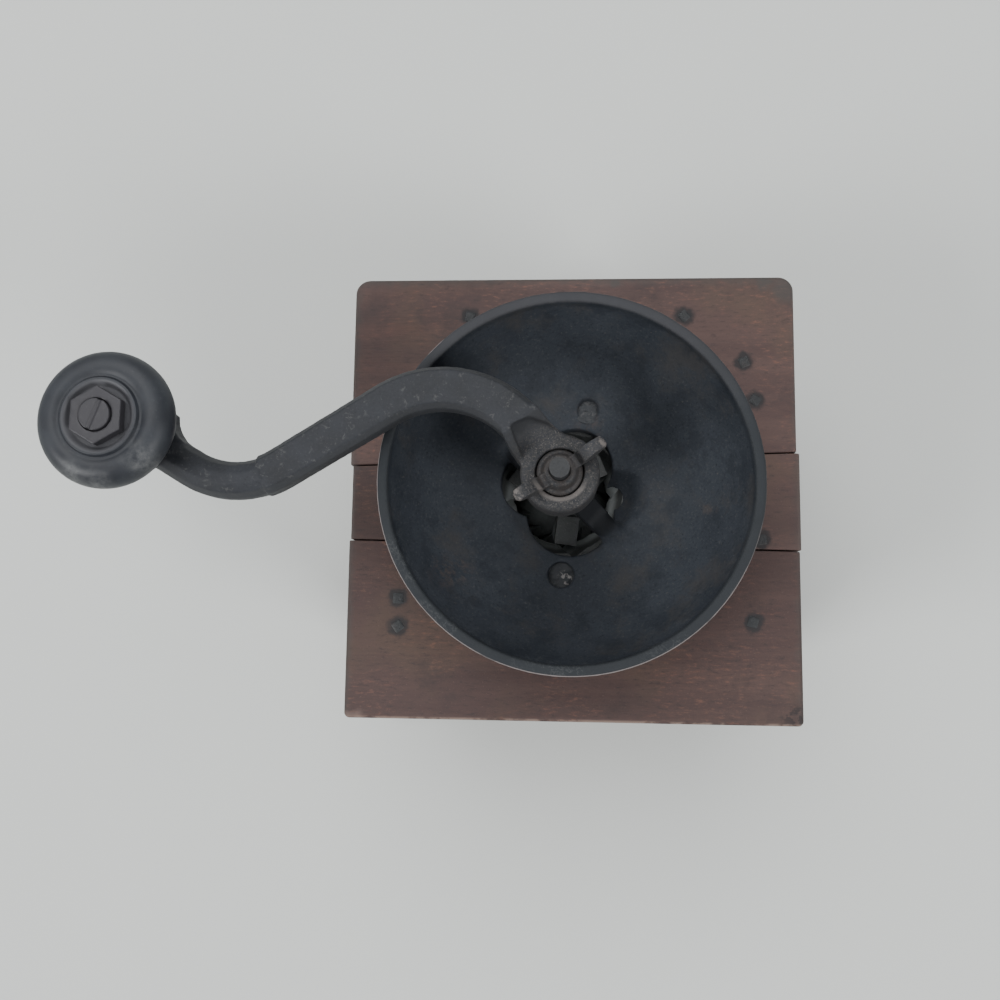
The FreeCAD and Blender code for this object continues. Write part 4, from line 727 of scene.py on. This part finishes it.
def rim_wear_and_painted_light(shader, point, tone):
    """Grey rim made paler at the back by painted light, with a scratched lip and a bright outer edge in
    front that is part wear and part painted highlight.
    """
    place = shader.parts(point)
    height = place["Z"]
    reach = shader.reach(point, BOWL)
    inner = shader.math("ADD", reach, shader.both(shader.noise(point, 500, detail=4), 1.4 * MM))
    band = shader.both(
        shader.fade(height, RIM_TOP - 1.6 * MM, RIM_TOP - 0.7 * MM),
        shader.fade(inner, RIM_RADIUS - 3.4 * MM, RIM_RADIUS - 2.9 * MM),
    )
    tone = shader.mix(shader.both(band, 0.9), tone, paint(37, 40, 43))
    # Painted light: the rim's band grows paler towards the back.
    rear_painted_light = shader.both(band, shader.fade(place["Y"], 5 * MM, 60 * MM), 0.7)
    tone = shader.mix(rear_painted_light, tone, paint(58, 58, 61))
    forward = shader.math("ADD", place["Y"], shader.both(place["X"], 0.4))
    front = shader.fade(forward, -2 * MM, 14 * MM, 1.0, 0.0)
    scratch = shader.thread(shader.noise(point, 420, detail=5, roughness=0.7), 0.5, 0.02)
    lip = shader.fade(inner, RIM_RADIUS - 5.5 * MM, RIM_RADIUS - 3.5 * MM)
    scratched = shader.both(scratch, lip, front, shader.fade(shader.noise(point, 70), 0.5, 0.6), 0.35)
    tone = shader.mix(scratched, tone, paint(96, 98, 98))
    # Bright outer edge: wear at the chip, and in front part wear and part painted highlight.
    chipped = shader.math("MAXIMUM", front, shader.spot(point, *RIM_CHIP, 3.0, 5.0))
    outer = shader.both(
        shader.fade(reach, RIM_RADIUS - 0.6 * MM, RIM_RADIUS - 0.35 * MM),
        shader.fade(height, RIM_TOP - 1.3 * MM, RIM_TOP - 0.8 * MM),
        chipped,
        shader.fade(shader.noise(point, 70, detail=5), 0.34, 0.44, 0.4, 1.0),
    )
    return shader.mix(outer, tone, paint(124, 116, 115))


def crank_iron():
    """The crank: dull dark grey with a fine grain, painted light paling its sloping sides, and short light
    scratches worn on its flat arm.
    """
    shader = Shader("crank iron")
    point = shader.place()
    cloud = shader.noise(point, 80, detail=6, roughness=0.62)
    speck = shader.noise(point, 1200, detail=4, roughness=0.7)
    tone = shader.mix(shader.fade(cloud, 0.3, 0.72), paint(25, 27, 31), paint(40, 42, 47))
    tone = shader.mix(shader.fade(speck, 0.55, 0.76, 0.0, 0.6), tone, paint(62, 62, 64))
    tone = shader.mix(shader.fade(speck, 0.45, 0.27, 0.0, 0.6), tone, paint(17, 18, 20))
    # Painted light: sloping sides are paler, as if lit from below.
    slope = shader.parts(shader.facing())["Z"]
    side = shader.fade(slope, 0.88, 0.5, 0.0, 0.7)
    tone = shader.mix(side, tone, paint(50, 51, 53))
    height = shader.parts(point)["Z"]
    flat = shader.stretch(point, (1, 1, 0))
    waves = shader.noise(flat, 170, detail=3, roughness=0.6, distortion=0.6)
    broken = shader.both(
        shader.fade(shader.noise(flat, 330, detail=4, roughness=0.7), 0.52, 0.62),
        shader.fade(height, FACE + 58.2 * MM, FACE + 59 * MM),
    )
    scratch = shader.both(shader.thread(waves, 0.5, 0.05), broken, 0.45)
    tone = shader.mix(scratch, tone, paint(78, 78, 77))
    # Dust, grit and wear on the hub, with painted highlights.
    tone = hub_dust_and_highlights(shader, point, speck, tone)
    edge = shader.fade(shader.worn_edge(0.7 * MM), 0.03, 0.25, 0.0, 0.4)
    tone = shader.mix(edge, tone, paint(84, 84, 84))
    relief = shader.bump(speck, 0.12 * MM, 0.6)
    relief = shader.bump(waves, 0.6 * MM, 0.4, relief)
    roughness = shader.fade(cloud, 0.3, 0.72, 0.56, 0.7)
    return shader.finish(tone, roughness, relief, specular=0.35)


def hub_dust_and_highlights(shader, point, speck, tone):
    """Dust, grit, painted highlights and bright wear on the hub and the wing nut, and brown dirt in the
    hub's cup.
    """
    around = shader.reach(point, SPINDLE)
    dust = shader.both(shader.fade(around, 13 * MM, 20 * MM, 1.0, 0.0), shader.fade(speck, 0.4, 0.62), 0.6)
    tone = shader.mix(dust, tone, paint(52, 50, 48))
    grit = shader.both(
        shader.fade(around, 12 * MM, 18 * MM, 1.0, 0.0),
        shader.fade(shader.noise(point, 2100, detail=3, roughness=0.7), 0.54, 0.7),
        0.7,
    )
    tone = shader.mix(grit, tone, paint(104, 99, 94))
    # Painted highlights on the hub's front, with wear on the wing tips.
    tone = shader.mix(hub_highlights_and_wear(shader, point, around), tone, paint(112, 106, 102))
    cup = shader.both(
        shader.fade(around, 7.0 * MM, 8.6 * MM, 1.0, 0.0),
        shader.fade(shader.noise(point, 240, detail=4), 0.36, 0.6),
        0.55,
    )
    return shader.mix(cup, tone, paint(50, 44, 41))


def hub_highlights_and_wear(shader, point, around):
    """Painted highlights in crescents on the front of the hub's ring and on the wing nut's middle, and on
    the wings' tips part wear and part painted highlight.
    """
    forward = shader.parts(point)["Y"]
    # Painted highlight: a crescent on the front of the hub's ring.
    ring = shader.both(
        shader.fade(around, 7.7 * MM, 8.2 * MM),
        shader.fade(around, 9 * MM, 9.8 * MM, 1.0, 0.0),
        shader.fade(forward, SPINDLE.y - 2 * MM, SPINDLE.y - 6 * MM),
        0.5,
    )
    # Painted highlight: a crescent on the front of the wing nut's middle.
    middle = shader.both(
        shader.fade(around, 2.2 * MM, 2.9 * MM),
        shader.fade(around, 3.3 * MM, 3.8 * MM, 1.0, 0.0),
        shader.fade(forward, SPINDLE.y - 0.5 * MM, SPINDLE.y - 2 * MM),
        0.6,
    )
    worn = shader.math("MAXIMUM", ring, middle)
    patchy = shader.fade(shader.noise(point, 420, detail=4, roughness=0.7), 0.42, 0.58)
    # The wings' tips: part wear, part painted highlight.
    x, y = WING_TIP
    for side in (1, -1):
        tip = from_spindle(x * side, y * side) / MM
        worn = shader.math("MAXIMUM", worn, shader.both(shader.spot(point, *tip, 1.5, 4.5), patchy, 0.65))
    return worn


def mill_metal():
    """Ring and cone: painted light makes them pale grey deep down, where little light reaches, and darker
    where the vanes end below the bowl.
    """
    shader = Shader("mill iron")
    point = shader.place()
    height = shader.parts(point)["Z"]
    cloud = shader.noise(point, 160, detail=6, roughness=0.65)
    # Painted light: the deep tone is pale so that metal far down still shows.
    deep = shader.mix(cloud, paint(98, 102, 102), paint(146, 150, 150))
    near = shader.mix(cloud, paint(46, 48, 49), paint(66, 68, 67))
    # Painted light: the tone grows paler with depth.
    tone = shader.mix(shader.fade(height, FACE - 12 * MM, FACE - 4 * MM), deep, near)
    speck = shader.noise(point, 1100, detail=3)
    tone = shader.mix(shader.fade(speck, 0.56, 0.8, 0.0, 0.4), tone, paint(110, 108, 104))
    relief = shader.bump(speck, 0.15 * MM, 0.6)
    relief = shader.bump(cloud, 0.8 * MM, 0.5, relief)
    return shader.finish(tone, 0.6, relief, metallic=0.1)


def bolt_iron():
    """The bowl's bolts: clogged and darker than the bowl, with a few bright bruises."""
    shader = Shader("bolt iron")
    point = shader.place()
    cloud = shader.noise(point, 500, detail=5, roughness=0.65)
    tone = shader.mix(cloud, paint(27, 30, 34), paint(38, 41, 45))
    bruise = shader.fade(shader.noise(point, 640, detail=4, distortion=0.6), 0.56, 0.62)
    for middle, size, amount in ((BOLT_BRUISE, 3.4, 0.8), (BACK_BOLT, 5.0, 0.12)):
        place = from_spindle(*middle) / MM
        mark = shader.both(shader.spot(point, *place, size * 0.5, size), bruise, amount)
        tone = shader.mix(mark, tone, paint(128, 124, 122))
    return shader.finish(tone, 0.6, shader.bump(cloud, 0.6 * MM, 0.6), metallic=0.1)


def knob_wood():
    """Black stained turned wood with a satin sheen, painted light greying the well round the nut, and
    painted sheen in pale patches on its front.
    """
    shader = Shader("knob wood")
    point = shader.place()
    cloud = shader.noise(point, 60, detail=5, roughness=0.6)
    fine = shader.noise(point, 900, detail=4, roughness=0.7)
    tone = shader.mix(shader.fade(cloud, 0.35, 0.7), paint(33, 35, 40), paint(43, 46, 51))
    tone = shader.mix(shader.fade(fine, 0.56, 0.8, 0.0, 0.4), tone, paint(68, 70, 74))
    tone = shader.mix(shader.fade(fine, 0.44, 0.25, 0.0, 0.3), tone, paint(32, 33, 38))
    # Painted light: the well round the nut is greyed to lift the shade in it.
    well = shader.fade(shader.reach(point, HANDLE), 10.5 * MM, 11.8 * MM, 0.7, 0.0)
    tone = shader.mix(well, tone, paint(84, 84, 87))
    shaken = shader.ragged(point, 3.0, 200)
    blotch = shader.fade(shader.noise(point, 300, detail=5, roughness=0.75), 0.3, 0.7)
    # Painted sheen: pale blotches on the knob's front.
    for x, y, size in KNOB_SHEEN:
        centre = HANDLE / MM + Vector((x, y))
        worn = shader.both(shader.spot(shaken, *centre, 0.0, size * 1.3), blotch, 0.8)
        tone = shader.mix(worn, tone, paint(92, 93, 93))
    relief = shader.bump(fine, 0.06 * MM, 0.5)
    relief = shader.bump(shader.noise(point, 150, detail=4), 0.3 * MM, 0.3, relief)
    roughness = shader.fade(cloud, 0.3, 0.7, 0.42, 0.56)
    return shader.finish(tone, roughness, relief, specular=0.35)


# Boards and turned wood whose grain runs along Y; the others' runs along X.
GRAIN_ALONG_Y = {"wall_left", "wall_right", "drawer_side_left", "drawer_side_right", "drawer_knob"}

# How pale each board is beside the others.
WOOD_STRENGTHS = {
    "top_board_back": 1.1,
    "top_board_front": 0.86,
    "top_board_middle_left": 0.72,
    "top_board_middle_right": 1.06,
    "drawer_front": 1.2,
}


def make_finishes():
    """Finish of every slot but those of plain wood, where each board has its own."""
    steel = iron("dull steel", paint(50, 49, 53), paint(76, 75, 74), metallic=0.2, rough=0.5, grain=0.05)
    nail = iron("nail iron", paint(34, 36, 38), paint(56, 56, 56), metallic=0.1, rough=0.55, grain=0.4)
    return {
        "bowl_iron": bowl_iron(),
        "crank_iron": crank_iron(),
        "mill_iron": mill_metal(),
        "steel": steel,
        "nail_iron": nail,
        "knob_wood": knob_wood(),
    }


def paint_nodes():
    """Gives every shown piece or node the finish of its material slot."""
    finishes = make_finishes()
    for index, (node, item) in enumerate(sorted(shown.items())):
        slot = SLOT[node]
        if slot in finishes:
            material = finishes[slot]
        else:
            # The two ends of the middle board are one board, so its figure runs through.
            shift = (0, 0, 0) if node.startswith("top_board_middle") else (0.31 * index, 0.17 * index, 0)
            grain = "Y" if node in GRAIN_ALONG_Y else "X"
            on_top = node.startswith("top_board")
            material = wood(f"{node} wood", grain, shift, WOOD_STRENGTHS.get(node, 1.0), on_top)
        item.data.materials.clear()
        item.data.materials.append(material)
    shown["hopper_bolts"].data.materials[0] = bolt_iron()
    shown["spindle"].data.materials[0] = finishes["nail_iron"]


# Soft lights round the mill: name, place, width and power. Each looks at the frame's origin.
LAMPS = (
    ("ceiling", (-0.4, 1.2, 2.3), 2.2, 54.0),
    ("window_right", (2.0, -1.4, 2.0), 1.0, 62.0),
    ("window_left", (-2.1, -1.25, 2.0), 1.0, 62.0),
)
ROOM_COLOUR = (0.93, 0.96, 1.0)
ROOM_STRENGTH = 0.45
FLOOR_SIZE = 6.0


def make_floor():
    """Pale matt floor."""
    bpy.ops.mesh.primitive_plane_add(size=FLOOR_SIZE)
    floor = bpy.context.object
    floor.name = "floor"
    shader = Shader("floor")
    cloud = shader.noise(shader.place(), 3.0, detail=3)
    tone = shader.mix(cloud, paint(196, 199, 196), paint(202, 204, 201))
    grain = shader.bump(shader.noise(shader.place(), 300, detail=2), 0.2 * MM, 0.2)
    floor.data.materials.append(shader.finish(tone, 0.8, grain, specular=0.2))


def make_light():
    """Even light of a room, with the lamps in it."""
    world = bpy.data.worlds.new("soft room")
    bpy.context.scene.world = world
    world.use_nodes = True
    background = world.node_tree.nodes["Background"]
    background.inputs["Color"].default_value = (*ROOM_COLOUR, 1)
    background.inputs["Strength"].default_value = ROOM_STRENGTH

    for name, place, width, power in LAMPS:
        lamp = bpy.data.lights.new(name, "AREA")
        lamp.shape = "SQUARE"
        lamp.size = width
        lamp.energy = power
        holder = bpy.data.objects.new(name, lamp)
        bpy.context.scene.collection.objects.link(holder)
        holder.location = place
        holder.rotation_euler = (-Vector(place)).to_track_quat("-Z", "Y").to_euler()


def set_camera():
    """Camera of the photograph."""
    camera = bpy.data.cameras.new("camera")
    camera.sensor_width = CAMERA_SENSOR
    camera.lens = CAMERA_LENS
    camera.clip_start = CAMERA_NEAR
    holder = bpy.data.objects.new("camera", camera)
    bpy.context.scene.collection.objects.link(holder)
    holder.location = CAMERA_PLACE
    holder.rotation_euler = tuple(math.radians(angle) for angle in CAMERA_LEAN)
    bpy.context.scene.camera = holder


def make_pieces():
    """All pieces that are shown in place of nodes."""
    make_bowl()
    make_knob()
    make_crank()
    nails = cast(welded("top_nails"), voxel=0.3, rounds=50, pits=0.1, pit_size=4)
    add_piece("worn_top_nails", nails, "top_nails", sharp=CAST_SHARP)
    for node, width in EASED.items():
        add_piece(f"{node}_eased", eased(welded(node), width), node)


make_pieces()
paint_nodes()
make_floor()
make_light()
set_camera()
